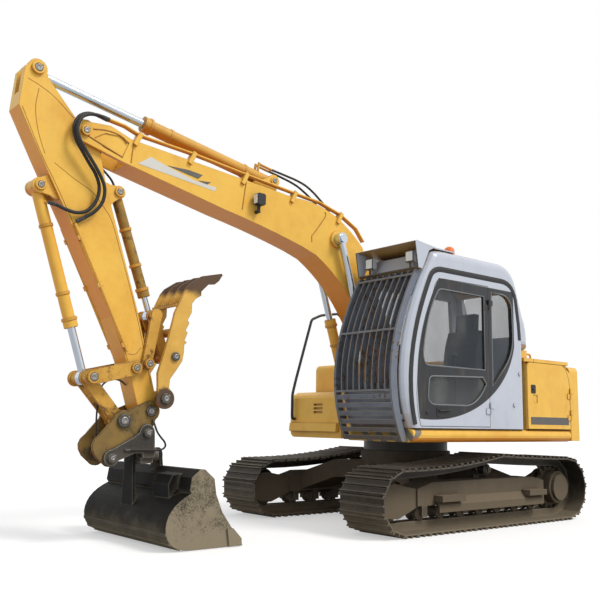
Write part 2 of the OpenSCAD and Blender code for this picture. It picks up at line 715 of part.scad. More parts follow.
function quarter_window(g) = concat(
  [[door_rear - 60 + g, 1480], [door_rear - 60 + g, door_top - 40 - g]],
  bend([-260, door_top - 45 - g], [-400 - g, door_top - 60 - g], [-425 - g, door_top - 190], 4),
  bend([-432 - g, 2050], [-430 - g, 1850], [-270, 1690], 5));

door_window = concat(bend([1000, 1650], [1075, 1660], [1070, 1790], 3),
  bend([1070, 1790], [1010, 2180], [860, 2390], 5), bend([860, 2390], [830, 2450], [770, 2450], 3),
  [[80, 2450], [80, 1650]]);
door_low_window = concat([[120, 1570], [60, 1500]], bend([60, 1500], [200, 1280], [400, 1262], 5),
  bend([880, 1260], [1010, 1260], [1000, 1360], 4), bend([990, 1470], [990, 1545], [920, 1545], 3));
right_window = concat([[-480, 1500], [1080, 1500]], bend([1150, 1560], [1150, 1960], [870, 2540], 6),
  [[-420, 2540]]);

rear_window_z0 = over_z + 140;
rear_window_z1 = cab_top - 300;
front_window_z0 = deck_top + 60;
front_window_z1 = cab_top - 230;
seal_t = 22;

module cab_shell() {
  color(pale) {
    for (z = cab_hinge_z) translate([cab_hinge_x, cab_hinge_y, z + knuckle_h + seat_gap]) {
      cylinder(r = knuckle_r, h = knuckle_h);
      translate([-70, -15, 0]) cube([70, 12, knuckle_h]);
    }
    difference() {
      cab_loft();
      slab(cab_w - 2 * cab_wall, y = cab_mid) polygon(cab_room(cab_wall));
      // windscreen opening
      translate([780, cab_right + cab_wall + 25, front_window_z0])
        cube([900, cab_w - 2 * cab_wall - 50, front_window_z1 - front_window_z0]);
      // doorway, with a lip that the door closes on
      slab(4 * cab_wall, y = cab_left) polygon(door_outline(-door_lip));
      slab(2 * (door_t + seat_gap), y = cab_left) polygon(door_outline(door_gap));
      slab(4 * cab_wall, y = cab_left) polygon(quarter_window(0));
      slab(4 * cab_wall, y = cab_right) polygon(right_window);
      translate([-cab_rear - 300, cab_right + 120, rear_window_z0])
        cube([500, cab_w - 240, rear_window_z1 - rear_window_z0]);
    }
    // grab handles beside the door and on the rear panel
    for (p = [[-540, 1640], [-430, 1290]]) slab(14, y = cab_left + 7 - eps) translate(p) circle(22);
  }
}

module cab_glass() {
  color(glass) {
    // windscreen
    intersection() {
      difference() {
        slab(cab_w - 2 * cab_wall - 50.6, y = cab_mid) polygon(cab_side(20));
        slab(cab_w, y = cab_mid) polygon(cab_side(20 + glass_t));
      }
      translate([790, cab_right, front_window_z0 + 0.3])
        cube([900, cab_w, front_window_z1 - front_window_z0 - 0.6]);
    }
    slab(glass_t, y = cab_left - cab_wall / 2)
      polygon([for (p = quarter_window(0)) mix(p, [-240, 2000], 0.0006)]);
    slab(glass_t, y = cab_right + cab_wall / 2)
      polygon([for (p = right_window) mix(p, [400, 1990], 0.0004)]);
    translate([-cab_rear + cab_wall / 2 + 20, cab_right + 120.3, rear_window_z0 + 0.3])
      cube([glass_t, cab_w - 240.6, rear_window_z1 - rear_window_z0 - 0.6]);
  }
}

door_t = 34;
door_lip = 22;
cab_hinge_x = door_rear - 4;
cab_hinge_y = cab_left + 13;
cab_hinge_z = [1180, 2300];

module cab_door() {
  color(dark) {
    difference() {
      slab(door_t, y = cab_left - door_t / 2) polygon(door_outline(0));
      slab(3 * cab_wall, y = cab_left) polygon(door_window);
      slab(3 * cab_wall, y = cab_left) polygon(door_low_window);
      // pocket behind the handle
      slab(2 * 18, y = cab_left) translate([690, 1140]) square([180, 90]);
    }
    for (z = cab_hinge_z) translate([cab_hinge_x, cab_hinge_y, z]) {
      cylinder(r = knuckle_r, h = knuckle_h);
      translate([0, -15, 0]) cube([70, 12, knuckle_h]);
    }
    // handle across the pocket
    slab(16, y = cab_left - 4) translate([684, 1172]) square([192, 26]);
  }
}

module cab_door_glass() {
  color(glass) {
    slab(glass_t, y = cab_left - door_t / 2) polygon([for (p = door_window) mix(p, [560, 2050], 0.0004)]);
    slab(glass_t, y = cab_left - door_t / 2) polygon([for (p = door_low_window) mix(p, [520, 1420], 0.0006)]);
  }
}

// Slatted front guard and the hood with its two lamps
guard_y0 = cab_right + 12;
guard_y1 = cab_left - 75;
guard_slats = 9;
guard_bars = 6;
guard_split = 0.315;
guard_in = -35;
guard_out = 45;
guard_side_t = 24;

function guard_part(o, t0, t1, n = 8) =
  bend_part([1262 + o, deck_bottom + 10], [1640 + o, 1640], [1049 + o, cab_top - 242], t0, t1, n);
function guard_strip(o0, o1, t0, t1, n = 8) =
  concat(guard_part(o1, t0, t1, n), reversed(guard_part(o0, t0, t1, n)));

module front_guard() {
  slat_pitch = (guard_y1 - guard_y0 - guard_side_t) / guard_slats;
  span = guard_y1 - guard_y0 - 2;
  mid = (guard_y0 + guard_y1) / 2;
  color(steel) {
    for (y = [guard_y0, guard_y1 - guard_side_t])
      slab(guard_side_t, y = y + guard_side_t / 2) polygon(guard_strip(guard_in, guard_out, 0, 1, 14));
    for (i = [1:guard_slats - 1])
      slab(9, y = guard_y0 + guard_side_t / 2 + i * slat_pitch)
        polygon(guard_strip(guard_in + 8, guard_out - 10, guard_split, 1, 12));
    // cross bars: foot blades, the split, the middle and the head
    for (i = [0:guard_bars - 1])
      slab(span, y = mid) polygon(guard_strip(guard_in + 20, guard_out - 12,
        0.004 + 0.052 * i, 0.034 + 0.052 * i, 1));
    for (t = [guard_split - 0.006, 0.66, 0.97])
      slab(span, y = mid) polygon(guard_strip(guard_in + 4, guard_out - 6, t, t + 0.012, 1));
    // feet that hold the guard to the cab
    for (y = [guard_y0, guard_y1 - guard_side_t], t = [0.14, 0.9])
      slab(guard_side_t, y = y + guard_side_t / 2) polygon(concat(guard_part(guard_in + 2, t, t + 0.03, 1),
        [for (p = reversed(guard_part(0, t, t + 0.03, 1))) [cab_front_x(p.y) - guard_foot_in, p.y]]));
  }
}
guard_foot_in = -seat_gap - 0.6;

hood_z0 = cab_top - 230;
module lamp_hood() {
  y0 = guard_y0 - 10;
  y1 = guard_y1 + 40;
  mid = (y0 + y1) / 2;
  brow = [1140, cab_top + 42];
  chin = [1095, hood_z0];
  color(pale) {
    for (y = [y0 + 7, y1 - 7]) slab(14, y = y)
      polygon([chin + [-60, -4], chin, brow, brow + [-20, 8], [840, cab_top + 14], [930, cab_top - 30]]);
    // roof plate, bolted to the cab roof
    slab(y1 - y0, y = mid) polygon([brow, brow + [-20, 10], [820, cab_top + 16], [520, cab_top + 14],
      [520, cab_top + seat_gap], [820, cab_top + seat_gap]]);
    // floor plate under the lamps
    slab(y1 - y0, y = mid) polygon([chin + [-60, -4], chin, chin + [0, 14], chin + [-60, 12]]);
    for (y = [y0 + 90, y1 - 200]) {
      translate([1010, y, hood_z0 + 80]) cube([60, 110, 120]);
      translate([1030, y + 40, hood_z0 + 4]) cube([30, 30, 90]);
    }
  }
}

module beacon() {
  color("orangered") translate([250, cab_left - 330, cab_top + 0.2]) {
    cylinder(r = 82, h = 22);
    rotate_extrude() polygon(concat([[0, 0], [76, 0]], bend([76, 20], [76, 62], [40, 64], 4), [[0, 66]]));
  }
}

seat_x = 60;
seat_y = cab_mid - 40;
module operator_station() {
  floor_z = deck_top + cab_wall + 0.2;
  color(dark) {
    translate([seat_x - 200, seat_y - 190, floor_z]) cube([380, 380, 330]);
    // cushion, backrest and headrest
    slab(480, [seat_x - 250, floor_z + 330], 0, seat_y) polygon(concat([[0, 0], [500, 0]],
      arc([470, 75], 50, -20, 100, 4), [[60, 95], [0, 110]]));
    slab(460, [seat_x - 250, floor_z + 430], 0, seat_y)
      polygon(concat([[0, 0], [110, 0]], bend([90, 250], [60, 480], [-10, 620], 4), [[-110, 610]]));
    slab(260, [seat_x - 355, floor_z + 1060], 0, seat_y)
      polygon([[0, -25], [95, -20], [70, 190], [-15, 190]]);
    for (s = [-1, 1]) {
      translate([seat_x - 150, seat_y + s * 300 - 55, floor_z]) cube([480, 110, 540]);
      translate([seat_x + 280, seat_y + s * 300, floor_z + 535]) cylinder(r = 12, h = 195);
      translate([seat_x + 280, seat_y + s * 300, floor_z + 730]) sphere(26);
      translate([seat_x + 640, seat_y + s * 90, floor_z]) cylinder(r = 11, h = 420);
    }
  }
}

rail_r = 17;
module handrail() {
  y = -house_half_w + 85;
  route = rounded([[right_front + 3, 1105], [right_front + 50, 1105], [right_front + 50, 1400],
    [right_front, 1580], [right_front - 250, 2370], [tank_front, 2440], [tank_front - 300, 2490],
    [tank_front - 420, 2380], [tank_front - 420, tank_top + seat_gap]], 36);
  color(dark) swept([for (p = route) [p.x, y, p.y]], rail_r);
}

// Boom

foot_boss_r = 130;
tip_boss_r = 100;
fork_depth = 470;

boom_outline = concat(
  arc([0, 0], foot_boss_r, 120, 300, 8),
  bend([900, 210], [1330, 470], [1800, 505], 8),
  bend([2000, 480], [2500, 390], [3000, 250], 5),
  [[boom_len - 420, -22]],
  arc([boom_len, 0], tip_boss_r, -100, 88, 8),
  [[boom_len - 170, 200], [boom_len - 395, 222]],
  bend([2950, 668], [2650, 785], [2350, 885], 4),
  bend([2350, 885], [1850, 1180], [1250, 975], 9),
  [[700, 520]]);

// Sunk panel on each cheek of the fork, measured back from the tip pin
tip_pocket = [[-95, -2], [-160, 105], [-300, 180], [-390, 176], [-400, 10], [-210, -22]];
pocket_depth = 10;

// Oil pipes along the top of the boom, with their clamps
pipe_r = 13;
pipe_y = [134, 166];
boom_pipe = [[boom_len - 130, 238], [boom_len - 280, 288], [boom_len - 440, 308], [3560, 520], [2960, 726],
  [2350, 940], [2020, 1060], [1700, 1120], [1430, 1112], [1270, 1040]];
clamp_at = [[boom_len - 440, 308], [3560, 520], [2960, 726], [2350, 940], [1700, 1120]];

module boom_pipes() {
  for (y = pipe_y) swept(set_at(boom_foot, boom_angle, y, boom_pipe), pipe_r, 10);
  for (p = clamp_at) slab(pipe_y[1] - pipe_y[0] + 40, boom_foot, boom_angle, (pipe_y[0] + pipe_y[1]) / 2)
    translate(p + [-22, -120]) square([44, 138]);
}

module boom() {
  color(yellow) {
    difference() {
      union() {
        slab(2 * boom_half_w, boom_foot, boom_angle) polygon(boom_outline);
        // bosses of the boom cylinder pin
        cross_pin(boom_cyl_pin, 95, 2 * (boom_cyl_y - cyl_eye_w / 2 - side_play));
        // lugs of the arm cylinder
        for (s = [-1, 1]) slab(28, boom_foot, boom_angle, s * (arm_cyl_d / 2 + side_play + 14))
          strap(arm_cyl_pin_local, arm_cyl_pin_local + [60, -230], 68, 165);
      }
      cross_pin(boom_foot, pin_r + pin_play, 900);
      // fork that takes the arm
      side(boom_foot, boom_angle) translate([boom_len - fork_depth, -600, -arm_half_w - side_play])
        cube([1200, 1200, 2 * (arm_half_w + side_play)]);
      for (s = [-1, 1]) slab(2 * pocket_depth, boom_foot, boom_angle, s * boom_half_w)
        polygon([for (p = tip_pocket) [boom_len + p.x, p.y]]);
    }
    boom_pipes();
    mirror([0, 1, 0]) boom_pipes();
    cross_pin(arm_pin, pin_r, 2 * boom_half_w + 40);
    cross_pin(arm_cyl_pin, pin_r, 2 * (arm_cyl_d / 2 + side_play + 28) + 2);
  }
}

lamp_local = [2735, 555];
module work_lamp() {
  y = boom_half_w + 70;
  color(dark) {
    slab(70, boom_foot, boom_angle, y) translate(lamp_local) rotate(-boom_angle)
      polygon([[-34, -60], [34, -60], [48, -46], [48, 46], [34, 60], [-34, 60], [-48, 46], [-48, -46]]);
    // stalk that turns in to the boom's side
    slab(26, boom_foot, boom_angle, boom_half_w + 50) translate(lamp_local) rotate(-boom_angle)
      polygon([[-14, -50], [14, -50], [10, -120], [-10, -120]]);
    slab(62, boom_foot, boom_angle, boom_half_w + 31.3) translate(lamp_local) rotate(-boom_angle)
      translate([-14, -135]) square([28, 28]);
  }
}

// Cylinders: tube from its pin a towards pin b, and the rod with its eye at b

gland_w = 70;
module tube(a, b, y, length, d, rod_d, eye_r) {
  side(a, heading(a, b), y) difference() {
    union() {
      rotate([0, 90, 0]) cylinder(d = d, h = length);
      translate([length - gland_w, 0, 0]) rotate([0, 90, 0]) cylinder(d = d + 18, h = gland_w);
      cylinder(r = eye_r, h = d, center = true);
    }
    cylinder(r = pin_r + pin_play, h = 4 * d, center = true);
    translate([eye_r + 20, 0, 0]) rotate([0, 90, 0])
      cylinder(d = d - 2 * wall, h = length - gland_w - eye_r - 20);
    rotate([0, 90, 0]) translate([0, 0, eye_r + 30]) cylinder(d = rod_d + 2 * pin_play, h = length);
  }
}

module rod(a, b, y, start, rod_d, tube_d, eye_r, eye_w) {
  l = norm(b - a);
  side(a, heading(a, b), y) {
    translate([start, 0, 0]) rotate([0, 90, 0]) cylinder(d = rod_d, h = l - start);
    translate([start, 0, 0]) rotate([0, 90, 0]) cylinder(d = tube_d - 2 * wall - 1, h = 40);
    translate([l, 0, 0]) cylinder(r = eye_r, h = eye_w, center = true);
  }
}

eye_r = 66;
wall = 10;
boom_rod_out = 874;
boom_tube = norm(boom_cyl_pin - boom_cyl_foot) - boom_rod_out;
boom_rod_start = boom_tube - 470;
boom_rod_d = 75;

module boom_cylinder(s) {
  color(yellow) {
    tube(boom_cyl_foot, boom_cyl_pin, s * boom_cyl_y, boom_tube, boom_cyl_d, boom_rod_d, eye_r);
  }
}
module boom_rod(s) {
  color(chrome) {
    rod(boom_cyl_foot, boom_cyl_pin, s * boom_cyl_y, boom_rod_start, boom_rod_d, boom_cyl_d, eye_r,
      cyl_eye_w);
    cross_pin(boom_cyl_pin, 48, 20, s * (boom_cyl_y + cyl_eye_w / 2 + 8));
  }
}
module boom_cylinder_left() { boom_cylinder(1); }
module boom_cylinder_right() { boom_cylinder(-1); }
module boom_rod_left() { boom_rod(1); }
module boom_rod_right() { boom_rod(-1); }

arm_rod_out = 1094;
arm_tube = norm(arm_rod_pin - arm_cyl_pin) - arm_rod_out;
arm_rod_start = arm_tube - 410;
arm_rod_d = 85;
arm_eye_w = 84;
module arm_cylinder() {
  color(yellow) {
    tube(arm_cyl_pin, arm_rod_pin, 0, arm_tube, arm_cyl_d, arm_rod_d, eye_r);
    // elbow pipes of the two hoses
    side(arm_cyl_pin, heading(arm_cyl_pin, arm_rod_pin)) for (y = [-30, 30]) {
      translate([180, arm_cyl_d / 2 - wall, y]) rotate([-90, 0, 0]) cylinder(r = 14, h = 87 + wall);
      translate([8, 141, y]) rotate([0, 90, 0]) cylinder(r = 13, h = 172);
    }
  }
}
module arm_rod() {
  color(chrome) rod(arm_cyl_pin, arm_rod_pin, 0, arm_rod_start, arm_rod_d, arm_cyl_d, eye_r, arm_eye_w);
}

bucket_rod_out = 453;
bucket_tube = norm(rod_pin - bucket_cyl_pin) - bucket_rod_out;
bucket_rod_start = bucket_tube - 820;
bucket_rod_d = 70;
bucket_eye_w = 76;
module bucket_cylinder() {
  color(yellow) {
    tube(bucket_cyl_pin, rod_pin, 0, bucket_tube, bucket_cyl_d, bucket_rod_d, eye_r);
    // port of the hose
    swept([bucket_port + [30, -32, -6], bucket_port], 19, 12);
  }
}
module bucket_rod() {
  color(chrome)
    rod(bucket_cyl_pin, rod_pin, 0, bucket_rod_start, bucket_rod_d, bucket_cyl_d, eye_r, bucket_eye_w);
}

thumb_rod_out = 187;
thumb_tube = norm(thumb_rod_pin - thumb_cyl_pin) - thumb_rod_out;
thumb_rod_start = thumb_tube - 850;
thumb_rod_d = 55;
thumb_eye_w = 70;
thumb_eye_r = 55;
module thumb_cylinder() {
  color(yellow) tube(thumb_cyl_pin, thumb_rod_pin, 0, thumb_tube, thumb_cyl_d, thumb_rod_d, thumb_eye_r);
}
module thumb_rod() {
  color(chrome)
    rod(thumb_cyl_pin, thumb_rod_pin, 0, thumb_rod_start, thumb_rod_d, thumb_cyl_d, thumb_eye_r, thumb_eye_w);
}

// Arm

arm_outline = concat(
  arc([0, 0], 130, 215, 270, 4),
  [[500, -100], [1650, -120]],
  arc([arm_len, 0], 95, -90, 90, 8),
  [[arm_len - 420, 95], [1650, 142], [760, 318], [170, 440], [-275, 524], [-600, 389],
   [-640, 300], [-560, 215], [-450, 190], [-126, 40]]);

arm_pipe_y = arm_half_w + 25;
arm_pipe = [[arm_len - 1760, 290], [arm_len - 1200, 192], [arm_len - 570, 84]];
arm_clamps = [[arm_len - 1640, 268], [arm_len - 1200, 192], [arm_len - 640, 96]];

module arm() {
  color(yellow) {
    difference() {
      union() {
        slab(2 * arm_half_w, arm_pin, arm_angle) {
          polygon(arm_outline);
          translate(arm_rod_pin_local) circle(85);
          strap(thumb_pin_local, [arm_len - 60, -30], 72, 80);
          translate(lever_pin_local) circle(78);
          translate(thumb_link_pin_local) circle(66);
        }
        for (s = [-1, 1]) {
          slab(28, arm_pin, arm_angle, s * (bucket_cyl_d / 2 + side_play + 14))
            strap(bucket_cyl_pin_local, bucket_cyl_pin_local + [20, -170], 68, 130);
          slab(26, arm_pin, arm_angle, s * (thumb_cyl_d / 2 + side_play + 13))
            strap(thumb_cyl_pin_local, thumb_cyl_pin_local + [0, 150], 60, 110);
        }
      }
      for (p = [arm_pin, arm_tip, thumb_pin, lever_pin, thumb_link_pin]) cross_pin(p, pin_r + pin_play, 900);
      // slot for the rod's eye
      side(arm_pin, arm_angle)
        translate([arm_rod_pin_local.x - 200, arm_rod_pin_local.y - 260, -arm_eye_w / 2 - side_play])
        cube([375, 460, arm_eye_w + 2 * side_play]);
    }
    // oil pipes on both sides, with their clamps
    for (s = [-1, 1]) {
      swept(set_at(arm_pin, arm_angle, s * arm_pipe_y, arm_pipe), pipe_r, 10);
      for (p = arm_clamps) slab(34, arm_pin, arm_angle, s * (arm_half_w + 15)) translate(p) rotate(-10)
        square([44, 50], center = true);
    }
    cross_pin(bucket_cyl_pin, pin_r, bucket_cyl_d + 2 * side_play + 80);
    cross_pin(thumb_cyl_pin, pin_r, thumb_cyl_d + 2 * side_play + 72);
    for (s = [-1, 1]) cross_pin(arm_rod_pin, 50, 20, s * (arm_half_w + 7));
  }
}

// Bucket linkage

coupler_in = arm_half_w + side_play;
coupler_out = coupler_in + coupler_plate;
lever_t = 26;
lever_y = coupler_out + side_play + lever_t / 2;
module bucket_levers() {
  color(yellow) {
    for (s = [-1, 1]) slab(lever_t, arm_pin, arm_angle, s * lever_y)
      strap(lever_pin_local, rod_pin_local, 66, 70);
    cross_pin(lever_pin, pin_r, 2 * lever_y + lever_t + 24);
    for (s = [-1, 1]) cross_pin(rod_pin, 50, 20, s * (lever_y + lever_t / 2 + 7));
  }
}

link_in = bucket_eye_w / 2 + side_play;
link_t = 30;
module bucket_link() {
  collar = lever_y - lever_t / 2 - side_play;
  color(yellow) {
    for (s = [-1, 1]) {
      slab(link_t, y = s * (link_in + link_t / 2)) strap(rod_pin, link_pin, 64, 62);
      cross_pin(rod_pin, 52, collar - link_in, s * (collar + link_in) / 2);
    }
    cross_pin(link_pin, 60, 2 * (arm_half_w - 2));
  }
}

hook_pin_r = 30;
module hook_bores() {
  for (p = [front_hook, rear_hook]) cross_pin(p, hook_pin_r + pin_play, 900);
}

module coupler() {
  outline = concat(
    arc(arm_tip, 92, 60, 235, 8),
    arc(front_hook, 58, 165, 250, 4),
    [front_hook + [50, -45], mix(front_hook, rear_hook, 0.55) + [20, -10]],
    arc(rear_hook, 78, 230, 320, 5),
    bend(rear_hook + [130, 10], rear_hook + [215, 120], link_pin + [215, -120], 4),
    arc(link_pin, 96, 10, 110, 6));
  color(yellow) {
    difference() {
      for (s = [-1, 1]) slab(coupler_plate, y = s * (coupler_in + coupler_plate / 2)) polygon(outline);
      hook_bores();
    }
    // web between the plates, below the arm and the link
    difference() {
      slab(2 * coupler_in + 2, y = 0) polygon([front_hook + [30, 40],
        mix(front_hook, rear_hook, 0.5) + [50, 20], rear_hook + [70, 50], rear_hook + [20, -10],
        mix(front_hook, rear_hook, 0.55) + [10, 0], front_hook + [50, -20]]);
      hook_bores();
    }
    cross_pin(arm_tip, pin_r, 2 * coupler_out + 24);
    for (s = [-1, 1]) cross_pin(link_pin, 52, 20, s * (coupler_out + 8));
  }
}

// Tilting bucket

tilt_z = arm_tip.y - 398;
tilt_x0 = front_hook.x - 190;
tilt_x1 = front_hook.x + 40;
tilt_r = 35;
ear_t = 26;
ear_in = coupler_out + side_play;

module tilt_head() {
  color(steel) {
    for (s = [-1, 1]) slab(ear_t, y = s * (ear_in + ear_t / 2)) polygon(concat(
      arc(front_hook, 75, 0, 180, 8),
      [[front_hook.x - 85, tilt_z - 10], [tilt_x1 - 5, tilt_z - 10], [tilt_x1 - 5, tilt_z + 30],
       [tilt_x1 + 70, tilt_z + 30]],
      arc(rear_hook, 70, 200, 450, 10), [front_hook + [130, -40]]));
    for (p = [front_hook, rear_hook]) cross_pin(p, hook_pin_r, 2 * (ear_in + ear_t) + 40);
    difference() {
      union() {
        translate([tilt_x0 + 110, -ear_in - 2, tilt_z - 60])
          cube([tilt_x1 - tilt_x0 - 110, 2 * ear_in + 4, 50]);
        translate([tilt_x0, 0, tilt_z]) rotate([0, 90, 0]) cylinder(r = 70, h = tilt_x1 - tilt_x0);
      }
      translate([tilt_x0 - 10, 0, tilt_z]) rotate([0, 90, 0])
        cylinder(r = tilt_r + pin_play, h = tilt_x1 - tilt_x0 + 20);
    }
  }
}

// Bucket profile, placed from the arm's tip so that it follows the arm
bucket_lip = arm_tip + [-612, -1134];
bucket_back = arm_tip + [158, -940];
bucket_brow = arm_tip + [-90, -672];
beam_top = arm_tip.y - 484;
cover_y = [300, 560];

function bucket_shell(i) = concat(
  [[bucket_lip.x + i * 2.2, bucket_lip.y + i]],
  bend([bucket_back.x - 230, bucket_lip.y + i], [bucket_back.x - i, bucket_lip.y + i + 10],
    [bucket_back.x - i, bucket_back.y], 7),
  bend([bucket_back.x - i, bucket_back.y], [bucket_back.x - 10 - i, bucket_back.y + 170 - i],
    bucket_brow + [0, -i], 7));

module bucket() {
  side_front = [bucket_lip + [34, 80], bucket_lip + [120, 156], bucket_lip + [222, 290],
    bucket_lip + [288, 440], bucket_lip + [310, 570]];
  beam = [bucket_brow + [0, -20], bucket_brow + [-90, 30], [bucket_brow.x - 115, beam_top],
    [bucket_brow.x - 65, beam_top], bucket_brow + [14, 126], bucket_brow + [30, 20]];
  color(steel) {
    // curved back and floor, with a box beam along the top
    difference() {
      slab(bucket_w) polygon(bucket_shell(0));
      slab(bucket_w + 2) polygon(concat(bucket_shell(bucket_plate), [bucket_lip + [300, 500]]));
    }
    slab(bucket_w) polygon(beam);
    // side plates with their cutters
    for (s = [-1, 1]) {
      slab(bucket_plate, y = s * (bucket_w - bucket_plate) / 2) polygon(concat(bucket_shell(1),
        [bucket_brow + [14, 126], [bucket_brow.x - 65, beam_top], [bucket_brow.x - 115, beam_top]],
        reversed(side_front)));
      slab(18, y = s * (bucket_w / 2 + 8)) polygon([bucket_lip + [20, 2], bucket_lip + [24, 62],
        bucket_lip + [112, 150], bucket_lip + [175, 150], bucket_lip + [150, 2]]);
    }
    // lugs and pin of the tilt joint
    for (x = [tilt_x0 - 36, tilt_x1 + 6]) translate([x, 0, 0]) rotate([90, 0, 90]) linear_extrude(30) {
      translate([0, tilt_z]) circle(75);
      foot = x < tilt_x1 ? beam_top - 60 : bucket_back.y + 122;
      polygon([[-70, tilt_z], [-105, foot], [105, foot], [70, tilt_z]]);
    }
    translate([tilt_x0 - 40, 0, tilt_z]) rotate([0, 90, 0]) cylinder(r = tilt_r, h = tilt_x1 - tilt_x0 + 80);
    // cover of the tilt cylinder
    slab(cover_y[1] - cover_y[0], y = (cover_y[0] + cover_y[1]) / 2) polygon([bucket_brow + [-20, 80],
      bucket_brow + [-10, 150], bucket_brow + [80, 140], bucket_brow + [120, 60], bucket_brow + [110, -60]]);
  }
}

// Thumb: outlines in its own frame, from the pivot along its length

thumb_y = ear_in + ear_t + side_play + 26;
thumb_t = 28;
claw = [[800, -300], [905, -172], [966, -160], [1025, -122], [1060, -140], [1167, -102], [1205, -44],
  [1257, -20], [1333, -10], [1338, -28], [1281, -98], [1198, -198], [1063, -279], [997, -293]];
// gripping edge with its teeth, then the claw, then the smooth back
thumb_edge = [[105, -16], [175, -42], [292, -21], [384, -9], [457, -31], [526, -62], [554, -48], [562, -78],
  [640, -84], [650, -112], [730, -110], [742, -138], [830, -136]];
thumb_back = [[740, -290], [663, -272], [510, -237], [316, -203], [162, -178], [60, -120]];

module thumb_plate(pts) {
  polygon([for (p = pts) p * thumb_scale]);
}

module thumb() {
  color(yellow) {
    for (s = [-1, 1]) slab(thumb_t, thumb_pin, thumb_lift, s * (thumb_y + thumb_t / 2)) {
      circle(92);
      thumb_plate(concat([[-10, -88], [-10, 88], [60, 60]], thumb_edge,
        [for (i = [1:len(claw) - 1]) claw[i]], thumb_back));
    }
    // inner tines and the bars that tie all four
    for (s = [-1, 1]) slab(26, thumb_pin, thumb_lift, s * 78) thumb_plate(claw);
    slab(2 * thumb_y + 4, thumb_pin, thumb_lift)
      thumb_plate([[800, -296], [822, -314], [922, -186], [905, -172]]);
    cross_pin(thumb_pin, pin_r, 2 * (thumb_y + thumb_t) + 24);
    cross_pin(thumb_drive_pin, thumb_drive_r, 2 * (thumb_y + thumb_t) + 24);
    cross_pin(at(thumb_pin, thumb_lift, [600, -170] * thumb_scale), 40, 2 * thumb_y + 4);
  }
}

module thumb_link() {
  in = push_out + side_play;
  out = arm_half_w + side_play + 20;
  color(yellow) {
    for (s = [-1, 1]) {
      slab(26, y = s * (arm_half_w + side_play + 13)) strap(thumb_link_pin, thumb_rod_pin, 52, 58);
      cross_pin(thumb_rod_pin, 45, out - in, s * (out + in) / 2);
    }
    cross_pin(thumb_link_pin, pin_r, 2 * (lever_y + lever_t / 2 + 12));
  }
}

push_in = thumb_eye_w / 2 + side_play;
push_t = 26;
push_out = push_in + push_t;
thumb_drive_r = 32;
module thumb_push_link() {
  color(yellow) difference() {
    union() {
      for (s = [-1, 1]) slab(push_t, y = s * (push_in + push_t / 2))
        strap(thumb_drive_pin, thumb_rod_pin, 52, 55);
      cross_pin(thumb_drive_pin, 48, 2 * push_out - 4);
    }
    cross_pin(thumb_drive_pin, thumb_drive_r + pin_play, 900);
  }
}

// Hoses that hang free: offsets from a pin as [x, y, z]

function hung(pin, pts) = [for (p = pts) [pin.x, 0, pin.y] + p];
hose_r = 15.5;
bucket_port = [arm_pin.x + 266, 54, arm_pin.y - 675];
tip_hose_a_route = [[-216, 134, 160], [-150, 137, 172], [-75, 146, 178], [8, 163, 158], [85, 183, 97],
  [122, 195, -5], [100, 197, -105], [39, 192, -194], [-36, 186, -289], [-111, 181, -384], [-150, 177, -489],
  [-135, 171, -604], [-68, 164, -705], [24, 155, -746], [118, 145, -736], [195, 122, -706], [254, 68, -680]];
tip_hose_b_route = [[-216, 166, 160], [-150, 171, 166], [-80, 185, 162], [0, 208, 138], [72, 228, 83],
  [108, 238, -17], [82, 238, -115], [17, 232, -203], [-57, 226, -290], [-136, 217, -392], [-187, 208, -494],
  [-185, 196, -606], [-135, 179, -698], [-50, 158, -771], [26, 142, -822]];
thumb_hose_r = 10;
thumb_hose_route = [[-464, -20, -114], [-405, -20, -86], [-340, -20, -66], [-275, -20, -68],
  [-225, -20, -105],
  [-212, -20, -165], [-240, -20, -228], [-298, -20, -278], [-355, -20, -330], [-397, -20, -399]];
crest_hose_r = 12;
crest_hose_a_route = [[-20, 30, 141], [-122, 30, 130], [-240, 30, 116], [-358, 30, 100], [-490, 30, 68],
  [-604, 30, 14], [-688, 30, -41], [-764, 30, -95], [-840, 30, -165], [-905, 30, -235], [-948, 30, -294]];
crest_hose_b_route = [[-20, -30, 141], [-100, -30, 128], [-190, -30, 112], [-308, -30, 90], [-430, -30, 56],
  [-540, -30, 4], [-625, -30, -45], [-700, -30, -98], [-770, -30, -158], [-830, -30, -215],
  [-868, -30, -248]];
hitch_hose_r = 8;
hitch_hose_route = [[181, 0, 229], [225, 0, 262], [285, 0, 276], [345, 0, 266], [398, 0, 230], [430, 0, 172],
  [442, 0, 100], [446, 0, 0], [446, 0, -120], [440, 0, -240], [426, 0, -338]];
tilt_hose_r = 9;
tilt_hose_route = [[-20, 161, -70], [-34, 178, -125], [-55, 192, -185], [-90, 200, -232], [-125, 202, -270],
  [-135, 202, -305], [-110, 202, -332], [-55, 202, -342], [20, 201, -342], [100, 199, -341],
  [180, 197, -340], [256, 194, -340]];

module tip_hose_a() { color(dark) swept(hung(arm_pin, tip_hose_a_route), hose_r); }
module tip_hose_b() { color(dark) swept(hung(arm_pin, tip_hose_b_route), hose_r); }
module thumb_hose() { color(dark) swept(hung(arm_pin, thumb_hose_route), thumb_hose_r); }
module crest_hose_a() { color(dark) swept(hung(arm_cyl_pin, crest_hose_a_route), crest_hose_r); }
module crest_hose_b() { color(dark) swept(hung(arm_cyl_pin, crest_hose_b_route), crest_hose_r); }
module hitch_hose() { color(dark) swept(hung(arm_tip, hitch_hose_route), hitch_hose_r, 8); }
module tilt_hose() { color(dark) swept(hung(arm_tip, tilt_hose_route), tilt_hose_r, 8); }

